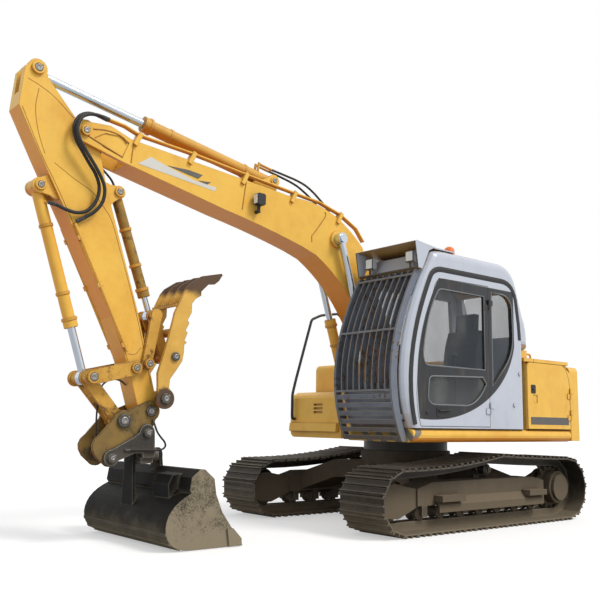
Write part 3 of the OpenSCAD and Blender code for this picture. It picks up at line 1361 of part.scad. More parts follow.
car_body();
track_frames();
track_left();
track_right();
idlers();
sprockets();
rollers();
tow_lugs();
house_frame();
counterweight();
lifting_eyes();
engine_block();
tank_body();
body_panels();
engine_hood();
side_door_left();
side_door_right();
cab_shell();
cab_glass();
front_guard();
lamp_hood();
beacon();
operator_station();
handrail();
cab_door();
cab_door_glass();
boom();
work_lamp();
boom_cylinder_left();
boom_cylinder_right();
boom_rod_left();
boom_rod_right();
arm();
arm_cylinder();
arm_rod();
bucket_cylinder();
bucket_rod();
bucket_levers();
bucket_link();
coupler();
tilt_head();
bucket();
thumb();
thumb_link();
thumb_push_link();
thumb_cylinder();
thumb_rod();
tip_hose_a();
tip_hose_b();
thumb_hose();
crest_hose_a();
crest_hose_b();
hitch_hose();
tilt_hose();
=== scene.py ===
"""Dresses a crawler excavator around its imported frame: finishes, trim, hoses, stage and camera."""

import json
import math

import bmesh
import bpy
from mathutils import Matrix, Vector


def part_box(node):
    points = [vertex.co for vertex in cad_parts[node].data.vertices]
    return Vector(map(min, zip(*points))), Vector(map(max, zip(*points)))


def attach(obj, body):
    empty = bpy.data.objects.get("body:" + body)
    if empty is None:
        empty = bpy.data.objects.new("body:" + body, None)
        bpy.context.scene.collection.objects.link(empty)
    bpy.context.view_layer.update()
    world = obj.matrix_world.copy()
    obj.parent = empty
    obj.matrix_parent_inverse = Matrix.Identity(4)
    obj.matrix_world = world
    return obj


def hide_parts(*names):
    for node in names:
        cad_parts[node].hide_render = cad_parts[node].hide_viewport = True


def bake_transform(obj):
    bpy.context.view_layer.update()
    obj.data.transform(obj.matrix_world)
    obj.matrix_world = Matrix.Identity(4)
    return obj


bl_info = {
    "name": "Crawler Excavator Dresser",
    "version": (1, 0, 0),
    "blender": (4, 5, 0),
    "location": "View3D > Sidebar > Excavator",
    "description": "Paints a packed crawler excavator and adds its trim, hoses, stage and camera",
    "category": "Object",
}

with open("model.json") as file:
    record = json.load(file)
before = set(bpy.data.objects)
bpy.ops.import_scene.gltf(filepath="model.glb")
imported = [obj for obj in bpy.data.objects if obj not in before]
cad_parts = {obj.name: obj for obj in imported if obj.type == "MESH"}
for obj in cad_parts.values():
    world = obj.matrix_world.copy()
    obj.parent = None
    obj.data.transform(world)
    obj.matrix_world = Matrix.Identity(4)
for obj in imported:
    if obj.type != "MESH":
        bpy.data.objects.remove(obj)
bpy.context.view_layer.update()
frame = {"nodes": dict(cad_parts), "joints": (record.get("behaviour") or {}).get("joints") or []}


def tone(red, green, blue):
    """A colour given in 0 to 255 display values, as the linear colour that shaders use."""
    def linear(value):
        value /= 255
        return value / 12.92 if value <= 0.04045 else ((value + 0.055) / 1.055) ** 2.4
    return (linear(red), linear(green), linear(blue))


# Places on the machine


PINS = {joint["name"]: Vector(joint["pos_m"]) for joint in frame["joints"] if "pos_m" in joint}
SLIDES = {joint["name"]: Vector(joint["axis"]) for joint in frame["joints"] if joint["type"] == "slide"}
HOUSE_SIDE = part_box("house_frame")[1].y
CAB_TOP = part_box("cab_shell")[1].z
ACROSS = Vector((0, 1, 0))
UP = Vector((0, 0, 1))
# Half the width over the side plates
BOOM_FACE = 0.160
ARM_FACE = 0.115


class Member:
    """A straight member of the front seen from its side: points by length, height and side."""

    def __init__(self, start, end):
        self.start = start
        self.along = (end - start).normalized()
        self.up = Vector((-self.along.z, 0.0, self.along.x))

    def at(self, length, height, side):
        """A point by its length along the member, its height over it and its place across."""
        return self.start + self.along * length + self.up * height + Vector((0.0, side, 0.0))


BOOM = Member(PINS["boom_lift"], PINS["arm_swing"])
ARM = Member(PINS["arm_swing"], PINS["bucket_curl"])


def curve(points, steps=6):
    """Points on a smooth curve through the given ones."""
    spots = [Vector(p) for p in points]
    spots = [spots[0] * 2 - spots[1], *spots, spots[-1] * 2 - spots[-2]]
    line = []
    for a, b, c, d in zip(spots, spots[1:], spots[2:], spots[3:]):
        for step in range(steps):
            t = step / steps
            line.append(0.5 * (b * 2 + (c - a) * t + (a * 2 - b * 5 + c * 4 - d) * t ** 2
                               + (b * 3 - a - c * 3 + d) * t ** 3))
    return line + [spots[-2]]


def bend(start, pull, end, steps):
    """A quadratic curve between two points, drawn towards a third."""
    a, b, c = Vector(start), Vector(pull), Vector(end)
    return [a.lerp(b, i / steps).lerp(b.lerp(c, i / steps), i / steps) for i in range(steps + 1)]


# Mesh pieces


SHARP_EDGE = math.radians(32)


class Piece:
    """One named mesh in the making, in the machine's own frame."""

    def __init__(self, name):
        self.name = name
        self.form = bmesh.new()

    def loft(self, rings):
        """Skins a row of rings and closes both ends."""
        rows = [[self.form.verts.new(p) for p in ring] for ring in rings]
        for one, two in zip(rows, rows[1:]):
            for i in range(len(one)):
                j = (i + 1) % len(one)
                self.form.faces.new((one[i], one[j], two[j], two[i]))
        self.form.faces.new(rows[0][::-1])
        self.form.faces.new(rows[-1])
        return self

    def tube(self, path, radius, sides, flat=1.0):
        """Sweeps a bar along a path; flat squeezes it across the machine's side."""
        path = [Vector(p) for p in path]
        rings = []
        side = None
        for i, spot in enumerate(path):
            ahead = (path[min(i + 1, len(path) - 1)] - path[max(i - 1, 0)]).normalized()
            side = side or ahead.orthogonal()
            side = (side - ahead * side.dot(ahead)).normalized()
            other = ahead.cross(side)
            ring = []
            for k in range(sides):
                turn = math.tau * k / sides
                out = (side * math.cos(turn) + other * math.sin(turn)) * radius
                ring.append(spot + Vector((out.x, out.y * flat, out.z)))
            rings.append(ring)
        return self.loft(rings)

    def lathe(self, origin, axis, profile, sides):
        """Turns a profile of (radius, height) pairs about an axis."""
        axis = Vector(axis).normalized()
        side = axis.orthogonal().normalized()
        other = axis.cross(side)
        turns = [math.tau * k / sides for k in range(sides)]
        spokes = [side * math.cos(t) + other * math.sin(t) for t in turns]
        return self.loft([[Vector(origin) + axis * height + spoke * radius for spoke in spokes]
                          for radius, height in profile])

    def plate(self, outline, depth, edge):
        """A flat plate from an outline of points, pushed out by depth, with an eased rim."""
        spots = [Vector(p) for p in outline]
        depth = Vector(depth)
        middle = sum(spots, Vector()) / len(spots)
        shy = [p + (middle - p).normalized() * edge for p in spots]
        brim = depth * (1 - edge / depth.length)
        return self.loft([spots, [p + brim for p in spots], [p + depth for p in shy]])

    def bolt(self, origin, axis, size):
        """A washer and a domed hexagon head."""
        washer = [(0.95, 0.0), (0.95, 0.15), (0.85, 0.22)]
        head = [(0.62, 0.20), (0.62, 0.60), (0.45, 0.75)]
        for profile, sides in ((washer, 14), (head, 6)):
            self.lathe(origin, axis, [(radius * size, height * size) for radius, height in profile], sides)
        return self

    def done(self, finish_name, body=None):
        """Turns the piece into an object with its finish, riding on a body."""
        bmesh.ops.recalc_face_normals(self.form, faces=self.form.faces)
        mesh = bpy.data.meshes.new(self.name)
        self.form.to_mesh(mesh)
        self.form.free()
        mesh.polygons.foreach_set("use_smooth", [True] * len(mesh.polygons))
        mesh.set_sharp_from_angle(angle=SHARP_EDGE)
        mesh.materials.append(finish(finish_name))
        piece = bpy.data.objects.new(self.name, mesh)
        bpy.context.scene.collection.objects.link(piece)
        if body:
            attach(piece, body)
        return piece


# Shader expressions


class Wire:
    """One output of a shader tree. Arithmetic on it adds Math nodes."""

    def __init__(self, tree, socket):
        self.tree = tree
        self.socket = socket

    def math(self, operation, first, second):
        """A Math node on two values, either of which may be a plain number."""
        return self.tree.node("ShaderNodeMath", {"operation": operation}, {0: first, 1: second})

    def __add__(self, other):
        return self.math("ADD", self, other)

    __radd__ = __add__

    def __sub__(self, other):
        return self.math("SUBTRACT", self, other)

    def __rsub__(self, other):
        return self.math("SUBTRACT", other, self)

    def __mul__(self, other):
        return self.math("MULTIPLY", self, other)

    __rmul__ = __mul__

    def __truediv__(self, other):
        return self.math("DIVIDE", self, other)

    def __rtruediv__(self, other):
        return self.math("DIVIDE", other, self)

    def __pow__(self, other):
        return self.math("POWER", self, other)

    def peak(self, other):
        """The greater of two values."""
        return self.math("MAXIMUM", self, other)

    def low(self, other):
        """The smaller of two values."""
        return self.math("MINIMUM", self, other)

    def fade(self, start, end):
        """0 at start and 1 at end, smooth between them."""
        return self.tree.node("ShaderNodeMapRange", {"interpolation_type": "SMOOTHSTEP"},
                              {"Value": self, "From Min": start, "From Max": end})

    def past(self, place, soft=0.005):
        """0 before a place and 1 past it."""
        return self.fade(place - soft, place + soft)


class Tree:
    """A node tree in the making."""

    def __init__(self, owner):
        owner.use_nodes = True
        self.nodes = owner.node_tree.nodes
        self.links = owner.node_tree.links

    def node(self, kind, settings, inputs, output=0):
        """Adds a node: first its settings, then the values or links of its sockets."""
        made = self.nodes.new(kind)
        for key, value in settings.items():
            setattr(made, key, value)
        for key, value in inputs.items():
            self.put(made.inputs[key], value)
        return Wire(self, made.outputs[output])

    def put(self, socket, value):
        """Links a wire to a socket, or sets the socket to a value."""
        if isinstance(value, Wire):
            self.links.new(value.socket, socket)
        elif socket.type == "RGBA":
            socket.default_value = (*value, 1.0)
        else:
            socket.default_value = value


class Surface(Tree):
    """The node tree of one material, and the patterns that this machine's finishes share."""

    def __init__(self, name):
        self.material = bpy.data.materials.new(name)
        super().__init__(self.material)
        self.shader = self.nodes["Principled BSDF"]
        self.place = self.node("ShaderNodeTexCoord", {}, {}, "Object")
        self.facing = self.node("ShaderNodeTexCoord", {}, {}, "Normal")

    def set(self, **sockets):
        """Sets the shader's sockets, named with underscores for spaces."""
        for key, value in sockets.items():
            self.put(self.shader.inputs[key.replace("_", " ").title().replace("Ior", "IOR")], value)

    def axis(self, name, vector=None):
        """One axis of a vector, or of the place on the piece."""
        return self.node("ShaderNodeSeparateXYZ", {}, {0: vector or self.place}, name)

    def noise(self, scale, detail, rough, stretch=None, shift=0.0):
        """Cloudy noise from 0 to 1, stretched along the axes or shifted where asked."""
        where = self.place
        if stretch or shift:
            where = self.node("ShaderNodeMapping", {},
                              {"Vector": where, "Scale": stretch or (1, 1, 1), "Location": (shift,) * 3})
        return self.node("ShaderNodeTexNoise", {},
                         {"Vector": where, "Scale": scale, "Detail": detail, "Roughness": rough}, "Fac")

    def mix(self, factor, first, second):
        """A colour between two. A Mix node's colour sockets share their names, so they go by number."""
        return self.node("ShaderNodeMix", {"data_type": "RGBA"}, {0: factor, 6: first, 7: second}, 2)

    def bump(self, height, distance, strength, normal=None):
        """The normal of a surface raised by height, on top of another normal where one is given."""
        inputs = {"Height": height, "Distance": distance, "Strength": strength}
        if normal:
            inputs["Normal"] = normal
        return self.node("ShaderNodeBump", {}, inputs)

    def eased(self, radius):
        """The normal of edges rounded by radius."""
        return self.node("ShaderNodeBevel", {"samples": 4}, {"Radius": radius})

    def edges(self, radius):
        """1 along sharp edges, 0 on flat faces."""
        plain = self.node("ShaderNodeNewGeometry", {}, {}, "Normal")
        likeness = self.node("ShaderNodeVectorMath", {"operation": "DOT_PRODUCT"},
                             {0: self.eased(radius), 1: plain}, "Value")
        return (1 - likeness).fade(0.02, 0.25)

    def hollows(self, reach):
        """1 in corners and recesses, 0 in the open."""
        open_sky = self.node("ShaderNodeAmbientOcclusion", {"samples": 4}, {"Distance": reach}, "AO")
        return (1 - open_sky).fade(0.25, 0.85)


# Painted marks and stains


def side_mark(tree):
    """1 on the cab's left side where the black paint covers the door and the quarter window."""
    nose, knee, heel = 1.163, 1.5, -0.457
    waist, brow, wall = 2.10, 2.56, 1.175
    sweep_middle, sweep_long, sweep_tall = 0.95, 1.43, 0.995
    x, y, z = (tree.axis(name) for name in "XYZ")
    sweep = ((x - sweep_middle) / sweep_long) ** 2 + ((z - waist) / sweep_tall) ** 2
    inside = (1 - sweep.fade(0.985, 1.0)).peak(z.past(waist))
    front = x + ((z - knee).peak(0.0) ** 2) * 0.30 + ((knee - z).peak(0.0) ** 2) * 0.22
    return inside * (1 - front.past(nose)) * x.past(heel) * (1 - z.past(brow)) * y.past(wall)


def corner_stripes(tree):
    """1 on the slanted stripes at the front corner of the left sill."""
    pitch, start, inner = 0.20, 1.0725, 0.5025
    x, y, z = (tree.axis(name) for name in "XYZ")
    slant = tree.node("ShaderNodeMath", {"operation": "FRACT"}, {0: (y + x + z) / pitch})
    return slant.fade(0.54, 0.57) * x.past(start, 0.0025) * y.past(inner, 0.0025)


def rust_spots(tree):
    """1 on rust that breaks through in groups of spots."""
    spots = tree.noise(16.0, 5.0, 0.7, shift=5.0).fade(0.52, 0.60)
    return spots * tree.noise(3.0, 3.0, 0.5).fade(0.46, 0.58)


def visor_painted_shade(tree):
    """1 on faces that look down or ahead: painted shade inside the lamp hood."""
    down = (tree.axis("Z", tree.facing) * -1).fade(0.15, 0.3)
    ahead = tree.axis("X", tree.facing).fade(0.4, 0.6)
    return (down + ahead).low(1.0)


def claw_end(tree):
    """1 on the worn claws and the pivot end of the thumb."""
    pin = PINS["thumb_close"]
    claws, hub = 1.06, 0.145
    near = ((tree.axis("X") - pin.x) ** 2 + (tree.axis("Z") - pin.z) ** 2) ** 0.5
    ragged = near + tree.noise(9.0, 4.0, 0.6) * 0.08
    return (ragged.past(claws, 0.04) + (1 - ragged.past(hub, 0.015))).low(1.0)


def stains(tree):
    """1 on dark oily stains."""
    cloud = tree.noise(5.0, 6.0, 0.7, shift=2.0) * 0.7 + tree.noise(22.0, 4.0, 0.7) * 0.4
    return cloud.fade(0.56, 0.68) * 0.85


def bearing(tree):
    """1 below the house's floor, on the greasy swing bearing."""
    house_floor = 0.878
    return 1 - tree.axis("Z").past(house_floor, 0.006)


# Finishes


# What the underside of a painted piece keeps of red, green and blue: painted shade on faces that look down
UNDERSIDE_SHADE = (0.90, 0.46, 0.08)


def scaled(colour, share):
    """A colour times one share."""
    return tuple(part * share for part in colour)


def paint(name, base, shade, dust, wear, band=(-0.6, 0.7), rough=0.36, wear_amount=0.5, grime_and_shade=0.5,
          coat=0.14, settle=0.22, ripple=0.0015, marks=()):
    """Weathered paint: cloudy tone, painted marks, dark dirt and painted shade in corners, painted shade on
    faces that look down, chipped edges, and dust that fades out over a band of heights."""
    tree = Surface(name)
    cloud = tree.noise(1.3, 5.0, 0.6)
    patch = tree.noise(6.0, 6.0, 0.65, shift=3.1)
    grain = tree.noise(55.0, 4.0, 0.7)
    colour = tree.mix((cloud * 0.7 + patch * 0.5).fade(0.45, 0.85), base, shade)
    for mark, mark_colour in marks:
        colour = tree.mix(mark(tree), colour, mark_colour)
    height = tree.axis("Z")
    rise = 1 - (height + patch * 0.3 - 0.15).fade(*band)
    lying = tree.axis("Z", tree.facing).fade(0.45, 0.95) * settle
    streak = tree.noise(5.0, 5.0, 0.7, stretch=(1, 1, 0.12)).fade(0.52, 0.75) * 0.14
    upright = tree.axis("Z", tree.facing).fade(-0.75, -0.2)
    film = ((rise * 0.85 + lying + streak * upright) * (patch * 0.7 + 0.55)).low(0.92)
    colour = tree.mix(film, colour, dust)
    # Faces that look down take a deeper, darker colour: painted shade
    under = (tree.axis("Z", tree.facing) * -1).fade(0.1, 0.6) * 0.75
    colour = tree.mix(under, colour, tuple(c * kept for c, kept in zip(shade, UNDERSIDE_SHADE)))
    # Corners and recesses darken towards dark dust: dirt there and painted shade together
    corner = tree.hollows(0.12) * (patch + 0.35) * grime_and_shade
    colour = tree.mix(corner.low(0.85), colour, scaled(dust, 0.32))
    chips = (tree.edges(0.012) * 0.75 + grain * 0.55 + patch * 0.35 - 0.72).fade(0.0, 0.25) * wear_amount
    colour = tree.mix(chips, colour, wear)
    tree.set(base_color=colour, coat_weight=(1 - film) * coat, coat_roughness=0.22, specular_ior_level=0.3,
             roughness=film * 0.4 + corner * 0.2 + grain * 0.1 + rough,
             normal=tree.bump(patch * 0.6 + grain * 0.15, ripple, 0.6, tree.eased(0.007)))
    return tree.material


def worn_steel(name, base, polish, rust, mud, band, metal=0.75, rough=0.42, ripple=0.004, side_mud=0.0,
               specular=0.5):
    """Bare working steel: rubbed bright on its edges, rust in patches, and dried mud that fades out
    over a band of heights or lies on the outer sides."""
    tree = Surface(name)
    patch = tree.noise(7.0, 7.0, 0.65)
    grain = tree.noise(70.0, 5.0, 0.7, shift=1.7)
    scratch = tree.noise(26.0, 4.0, 0.6, stretch=(0.25, 1, 3))
    colour = tree.mix((patch * 0.7 + scratch * 0.4).fade(0.35, 0.75), base, scaled(base, 0.55))
    rusted = (patch * 0.6 + grain * 0.5).fade(0.55, 0.75)
    colour = tree.mix(rusted * 0.75, colour, rust)
    rubbed = (tree.edges(0.02) + grain * 0.4 - 0.35).fade(0.0, 0.5)
    colour = tree.mix(rubbed * 0.8, colour, polish)
    height = tree.axis("Z")
    caked = (1 - (height + patch * 0.24 - 0.12).fade(*band)) * (grain * 0.5 + 0.6)
    caked = caked + tree.hollows(0.1) * 0.55 * (patch + 0.3)
    if side_mud:
        sideways = (tree.axis("Y", tree.facing) ** 2).fade(0.6, 0.9)
        outer = (tree.axis("Y") ** 2).fade(0.50, 0.54)
        caked = caked + sideways * outer * (patch * 0.7 + grain * 0.7).fade(0.44, 0.82) * side_mud
    caked = caked.low(0.94)
    colour = tree.mix(caked, colour, mud)
    tree.set(base_color=colour, specular_ior_level=specular,
             metallic=(1 - caked) * (1 - rusted * 0.7) * metal,
             roughness=caked * 0.4 + rusted * 0.25 + grain * 0.12 + rough,
             normal=tree.bump(caked * patch + grain * 0.25 + patch * 0.5, ripple, 0.8, tree.eased(0.008)))
    return tree.material


def moulded(name, base, dust, rough=0.5, grain_size=120.0):
    """Moulded plastic or rubber with a fine grain and a film of dust."""
    tree = Surface(name)
    grain = tree.noise(grain_size, 3.0, 0.6)
    patch = tree.noise(9.0, 5.0, 0.6)
    film = (tree.axis("Z", tree.facing).fade(0.2, 0.95) * 0.6 + patch.fade(0.45, 0.8) * 0.5) * 0.25
    tree.set(base_color=tree.mix(film, base, dust), roughness=film * 0.5 + patch * 0.15 + rough,
             normal=tree.bump(grain, 0.0006, 0.5, tree.eased(0.004)))
    return tree.material


def chromed(name, base):
    """Polished hydraulic rod with faint drag lines and a dry film."""
    tree = Surface(name)
    drag = tree.noise(40.0, 4.0, 0.6)
    film = tree.noise(5.0, 5.0, 0.6).fade(0.45, 0.8)
    tree.set(base_color=tree.mix(film * 0.35, base, scaled(base, 0.72)), metallic=0.95,
             roughness=film * 0.12 + drag * 0.06 + 0.12, normal=tree.bump(drag, 0.0002, 0.3))
    return tree.material


def glazing(name, tint, film):
    """Tinted safety glass with a dusty, smeared surface."""
    tree = Surface(name)
    smear = tree.noise(2.2, 5.0, 0.6, stretch=(1, 1, 0.5))
    dust = (smear.fade(0.42, 0.75) * 0.3 + (1 - tree.axis("Z").fade(1.1, 1.7)) * 0.25)
    tree.set(base_color=tree.mix(dust, tint, film), roughness=dust * 0.35 + 0.04,
             alpha=dust * 0.30 + 0.24, metallic=0.0, coat_weight=0.6)
    return tree.material


def lens(name, tint, glow):
    """Ribbed coloured lens, with a faint painted glow in bands along its ribs."""
    tree = Surface(name)
    rib = tree.node("ShaderNodeTexWave", {"bands_direction": "Z"},
                    {"Vector": tree.place, "Scale": 45.0}, "Fac")
    film = tree.noise(20.0, 4.0, 0.6).fade(0.4, 0.8)
    tree.set(base_color=tree.mix(film * 0.4, tint, scaled(tint, 0.55)), roughness=film * 0.25 + 0.15,
             normal=tree.bump(rib, 0.002, 0.6), emission_color=tree.mix(rib, glow, tint),
             emission_strength=0.12)
    return tree.material


FINISHES = {
    "yellow": lambda c: paint(
        "yellow_paint", c.yellow, c.yellow_shade, c.dust, c.bare_steel,
        marks=[(corner_stripes, tone(126, 122, 112)), (bearing, tone(34, 32, 28))]),
    "tube_yellow": lambda c: paint(
        "tube_paint", tone(222, 168, 70), tone(200, 146, 54), c.dust, c.bare_steel, grime_and_shade=0.7),
    "tool_yellow": lambda c: paint(
        "tool_paint", c.tool_yellow, tone(124, 100, 54), tone(96, 84, 62), tone(60, 50, 40), band=(0.3, 1.9),
        rough=0.5, wear_amount=1.0, grime_and_shade=1.0, coat=0.05, marks=[(stains, tone(50, 42, 30))]),
    "link_yellow": lambda c: paint(
        "link_paint", tone(224, 172, 74), tone(196, 146, 60), tone(120, 98, 66), tone(84, 62, 44),
        band=(0.2, 1.2), rough=0.5, wear_amount=1.0, grime_and_shade=0.8, coat=0.05,
        marks=[(stains, tone(70, 54, 36))]),
    "claw_yellow": lambda c: paint(
        "claw_paint", tone(232, 184, 88), tone(208, 158, 70), tone(132, 104, 72), tone(84, 62, 44),
        band=(0.2, 1.2), rough=0.5, wear_amount=1.0, grime_and_shade=0.7, coat=0.05,
        marks=[(claw_end, tone(92, 70, 52))]),
    "seam": lambda c: paint(
        "seam_paint", tone(190, 134, 50), tone(164, 112, 40), c.dust, c.bare_steel, grime_and_shade=0.9, ripple=0.004),
    "white": lambda c: paint(
        "cab_paint", c.cab_white, tone(190, 195, 208), c.dust, tone(150, 146, 140), band=(-0.2, 1.0),
        wear_amount=0.25, rough=0.28, coat=0.4, marks=[(side_mark, c.cab_dark)]),
    # The lamp hood darkens on faces that look down or ahead: painted shade
    "visor": lambda c: paint(
        "visor_paint", c.cab_white, tone(190, 195, 208), c.dust, tone(150, 146, 140), band=(-0.2, 1.0),
        wear_amount=0.25, rough=0.3, coat=0.3, marks=[(visor_painted_shade, tone(48, 45, 35))]),
    "guard": lambda c: paint(
        "guard_paint", c.guard_grey, tone(96, 101, 112), tone(140, 130, 112), tone(182, 166, 138),
        band=(0.2, 1.3), wear_amount=1.0, grime_and_shade=0.6, rough=0.5, coat=0.0,
        marks=[(rust_spots, tone(92, 66, 48))]),
    "frame": lambda c: paint(
        "frame_paint", tone(74, 66, 54), tone(52, 47, 40), c.mud, c.bare_steel, band=(0.0, 0.85),
        wear_amount=0.6, rough=0.62, coat=0.0, grime_and_shade=0.9, settle=0.7),
    "track": lambda c: worn_steel(
        "track_steel", c.track_steel, tone(138, 130, 118), tone(70, 58, 47), tone(128, 115, 94),
        band=(-0.05, 0.45)),
    # The bucket's near-black base is its dark steel, darkened further with painted shade
    "bucket": lambda c: worn_steel(
        "bucket_steel", tone(20, 19, 18), tone(104, 100, 94), tone(52, 43, 36), tone(150, 138, 116),
        band=(-0.1, 0.3), metal=0.1, rough=0.55, ripple=0.005, side_mud=1.0, specular=0.15),
    "head": lambda c: worn_steel(
        "head_steel", tone(72, 70, 66), tone(160, 156, 150), tone(96, 74, 52), tone(126, 114, 92),
        band=(0.3, 0.9), metal=0.5),
    "pin_steel": lambda c: worn_steel(
        "pin_steel", tone(150, 148, 144), tone(206, 204, 200), tone(110, 84, 60), tone(150, 124, 84),
        band=(-0.6, 0.3), metal=0.85, rough=0.34, ripple=0.001),
    "iron": lambda c: worn_steel(
        "engine_iron", tone(70, 70, 72), tone(110, 110, 112), tone(80, 66, 52), c.dust, band=(0.2, 1.0),
        metal=0.4, rough=0.55),
    "chrome": lambda c: chromed("rod_chrome", tone(206, 214, 224)),
    "black": lambda c: moulded("black_trim", tone(34, 34, 37), tone(120, 112, 98)),
    "seal": lambda c: moulded("window_seal", tone(116, 120, 124), tone(150, 146, 138), grain_size=80.0),
    "rubber": lambda c: moulded("hose_rubber", tone(30, 30, 32), tone(110, 98, 80), 0.55, 220.0),
    "seat": lambda c: moulded("seat_cover", tone(52, 52, 56), tone(120, 112, 98), 0.8, 300.0),
    "stripe": lambda c: moulded("stripe_film", tone(216, 214, 206), c.dust, 0.4, 60.0),
    "stripe_grey": lambda c: moulded("stripe_film_grey", tone(92, 90, 88), c.dust, 0.4, 60.0),
    "glass": lambda c: glazing("tinted_glass", tone(40, 54, 66), tone(190, 188, 178)),
    # A lens's second colour is its painted glow: no lamp is lit
    "lamp": lambda c: lens("lamp_lens", tone(214, 216, 214), tone(236, 236, 230)),
    "amber": lambda c: lens("amber_lens", c.amber, tone(250, 140, 60)),
}


def by_member(groups):
    """Turns a table of groups into one that finds the group of each member."""
    return {member: group for group, members in groups.items() for member in members.split()}


# The nodes of each finish
NODE_FINISH = by_member({
    "frame": "car_body track_frames sprockets tow_lugs",
    "track": "track_left track_right idlers rollers",
    "yellow": "house_frame counterweight lifting_eyes tank_body body_panels engine_hood side_door_left "
              "side_door_right boom boom_cylinder_left boom_cylinder_right arm bucket_cylinder",
    "tube_yellow": "arm_cylinder",
    "link_yellow": "bucket_levers bucket_link thumb_link thumb_push_link",
    "tool_yellow": "coupler thumb_cylinder",
    "claw_yellow": "thumb",
    "white": "cab_shell cab_door",
    "visor": "lamp_hood",
    "guard": "front_guard",
    "glass": "cab_glass cab_door_glass",
    "amber": "beacon",
    "seat": "operator_station",
    "black": "handrail work_lamp",
    "chrome": "boom_rod_left boom_rod_right arm_rod bucket_rod thumb_rod",
    "head": "tilt_head",
    "bucket": "bucket",
    "iron": "engine_block",
})

made_finishes = {}


def finish(name):
    """The material of a finish, made at its first use."""
    if name not in made_finishes:
        made_finishes[name] = FINISHES[name](bpy.context.scene.excavator_colours)
    return made_finishes[name]


# Settings


def colour_setting(name, description, *shade):
    """A colour that a user may change, by its display values."""
    return bpy.props.FloatVectorProperty(name=name, description=description, subtype="COLOR", size=3,
                                         min=0.0, max=1.0, default=tone(*shade))


class ColourSettings(bpy.types.PropertyGroup):
    """The machine's main colours."""

    yellow: colour_setting("Body yellow", "Paint of the boom, the arm and the house", 246, 196, 84)
    yellow_shade: colour_setting("Faded yellow", "Clouds in the body paint", 232, 172, 66)
    tool_yellow: colour_setting("Tool yellow", "Dirty paint of the coupler and its links", 186, 144, 64)
    cab_white: colour_setting("Cab white", "Paint of the cab", 198, 204, 215)
    cab_dark: colour_setting("Cab black", "Paint round the cab's side windows", 25, 27, 33)
    guard_grey: colour_setting("Guard grey", "Paint of the cab's front guard", 118, 125, 138)
    track_steel: colour_setting("Track steel", "Steel of the track shoes", 62, 58, 53)
    amber: colour_setting("Beacon amber", "Lens of the beacon", 240, 112, 32)
    dust: colour_setting("Dust", "Dry dust on the paint", 168, 146, 112)
    mud: colour_setting("Mud", "Dried mud on the track frames", 124, 110, 90)
    bare_steel: colour_setting("Bare steel", "Steel under chipped paint", 96, 82, 66)


def length_setting(name, description, size):
    """A size that a user may change, in metres."""
    return bpy.props.FloatProperty(name=name, description=description, subtype="DISTANCE", unit="LENGTH",
                                   min=0.0, default=size)


class TrimSettings(bpy.types.PropertyGroup):
    """Sizes of the trim."""

    seam: length_setting("Weld seam", "Radius of the weld seams", 0.007)
    bolt: length_setting("Bolt", "Size of the bolt heads", 0.016)
    ferrule: length_setting("Hose ferrule", "Length of the crimped hose ends", 0.075)
    seal: length_setting("Window seal", "Radius of the window seals", 0.008)
    drip: length_setting("Drip strip", "Half the width of the strip round the cab's side", 0.030)


class StageSettings(bpy.types.PropertyGroup):
    """Where the camera stands and how the studio is lit."""

    eye: bpy.props.FloatVectorProperty(
        name="Camera place", description="Where the camera stands", subtype="TRANSLATION", unit="LENGTH",
        default=(7.0626, 6.5031, 1.0556))
    aim: bpy.props.FloatVectorProperty(
        name="Camera aim", description="The point in the middle of the picture", subtype="TRANSLATION",
        unit="LENGTH", default=(1.6576, 0.0, 2.3699))
    roll: bpy.props.FloatProperty(
        name="Camera roll", description="Turn of the picture about its middle", subtype="ANGLE",
        default=math.radians(0.937))
    lens: bpy.props.FloatProperty(
        name="Focal length", description="Focal length on a 36 mm sensor", subtype="DISTANCE_CAMERA",
        default=47.459)
    sun: bpy.props.FloatProperty(
        name="Key light", description="Strength of the soft key light", default=1.95)
    sky: bpy.props.FloatProperty(
        name="Fill light", description="Strength of the even fill light", default=0.62)


class Step:
    """What the operators share."""

    bl_options = {"REGISTER", "UNDO"}


# Width of the camera's sensor in millimetres
SENSOR_WIDTH = 36.0


class EXCAVATOR_OT_camera(Step, bpy.types.Operator):
    """Stands the camera where the photograph was taken."""

    bl_idname = "excavator.camera"
    bl_label = "Camera"

    def execute(self, context):
        stage = context.scene.excavator_stage
        data = bpy.data.cameras.new("photo_camera")
        data.lens = stage.lens
        data.sensor_width = SENSOR_WIDTH
        camera = bpy.data.objects.new("photo_camera", data)
        context.scene.collection.objects.link(camera)
        eye = Vector(stage.eye)
        back = (eye - Vector(stage.aim)).normalized()
        right = UP.cross(back).normalized()
        up = back.cross(right)
        turn = Matrix.Rotation(stage.roll, 3, back)
        camera.matrix_world = Matrix.Translation(eye) @ Matrix(
            (turn @ right, turn @ up, back)).transposed().to_4x4()
        context.scene.camera = camera
        return {"FINISHED"}


# Hoses: offsets from a pin in metres, as the solids have them


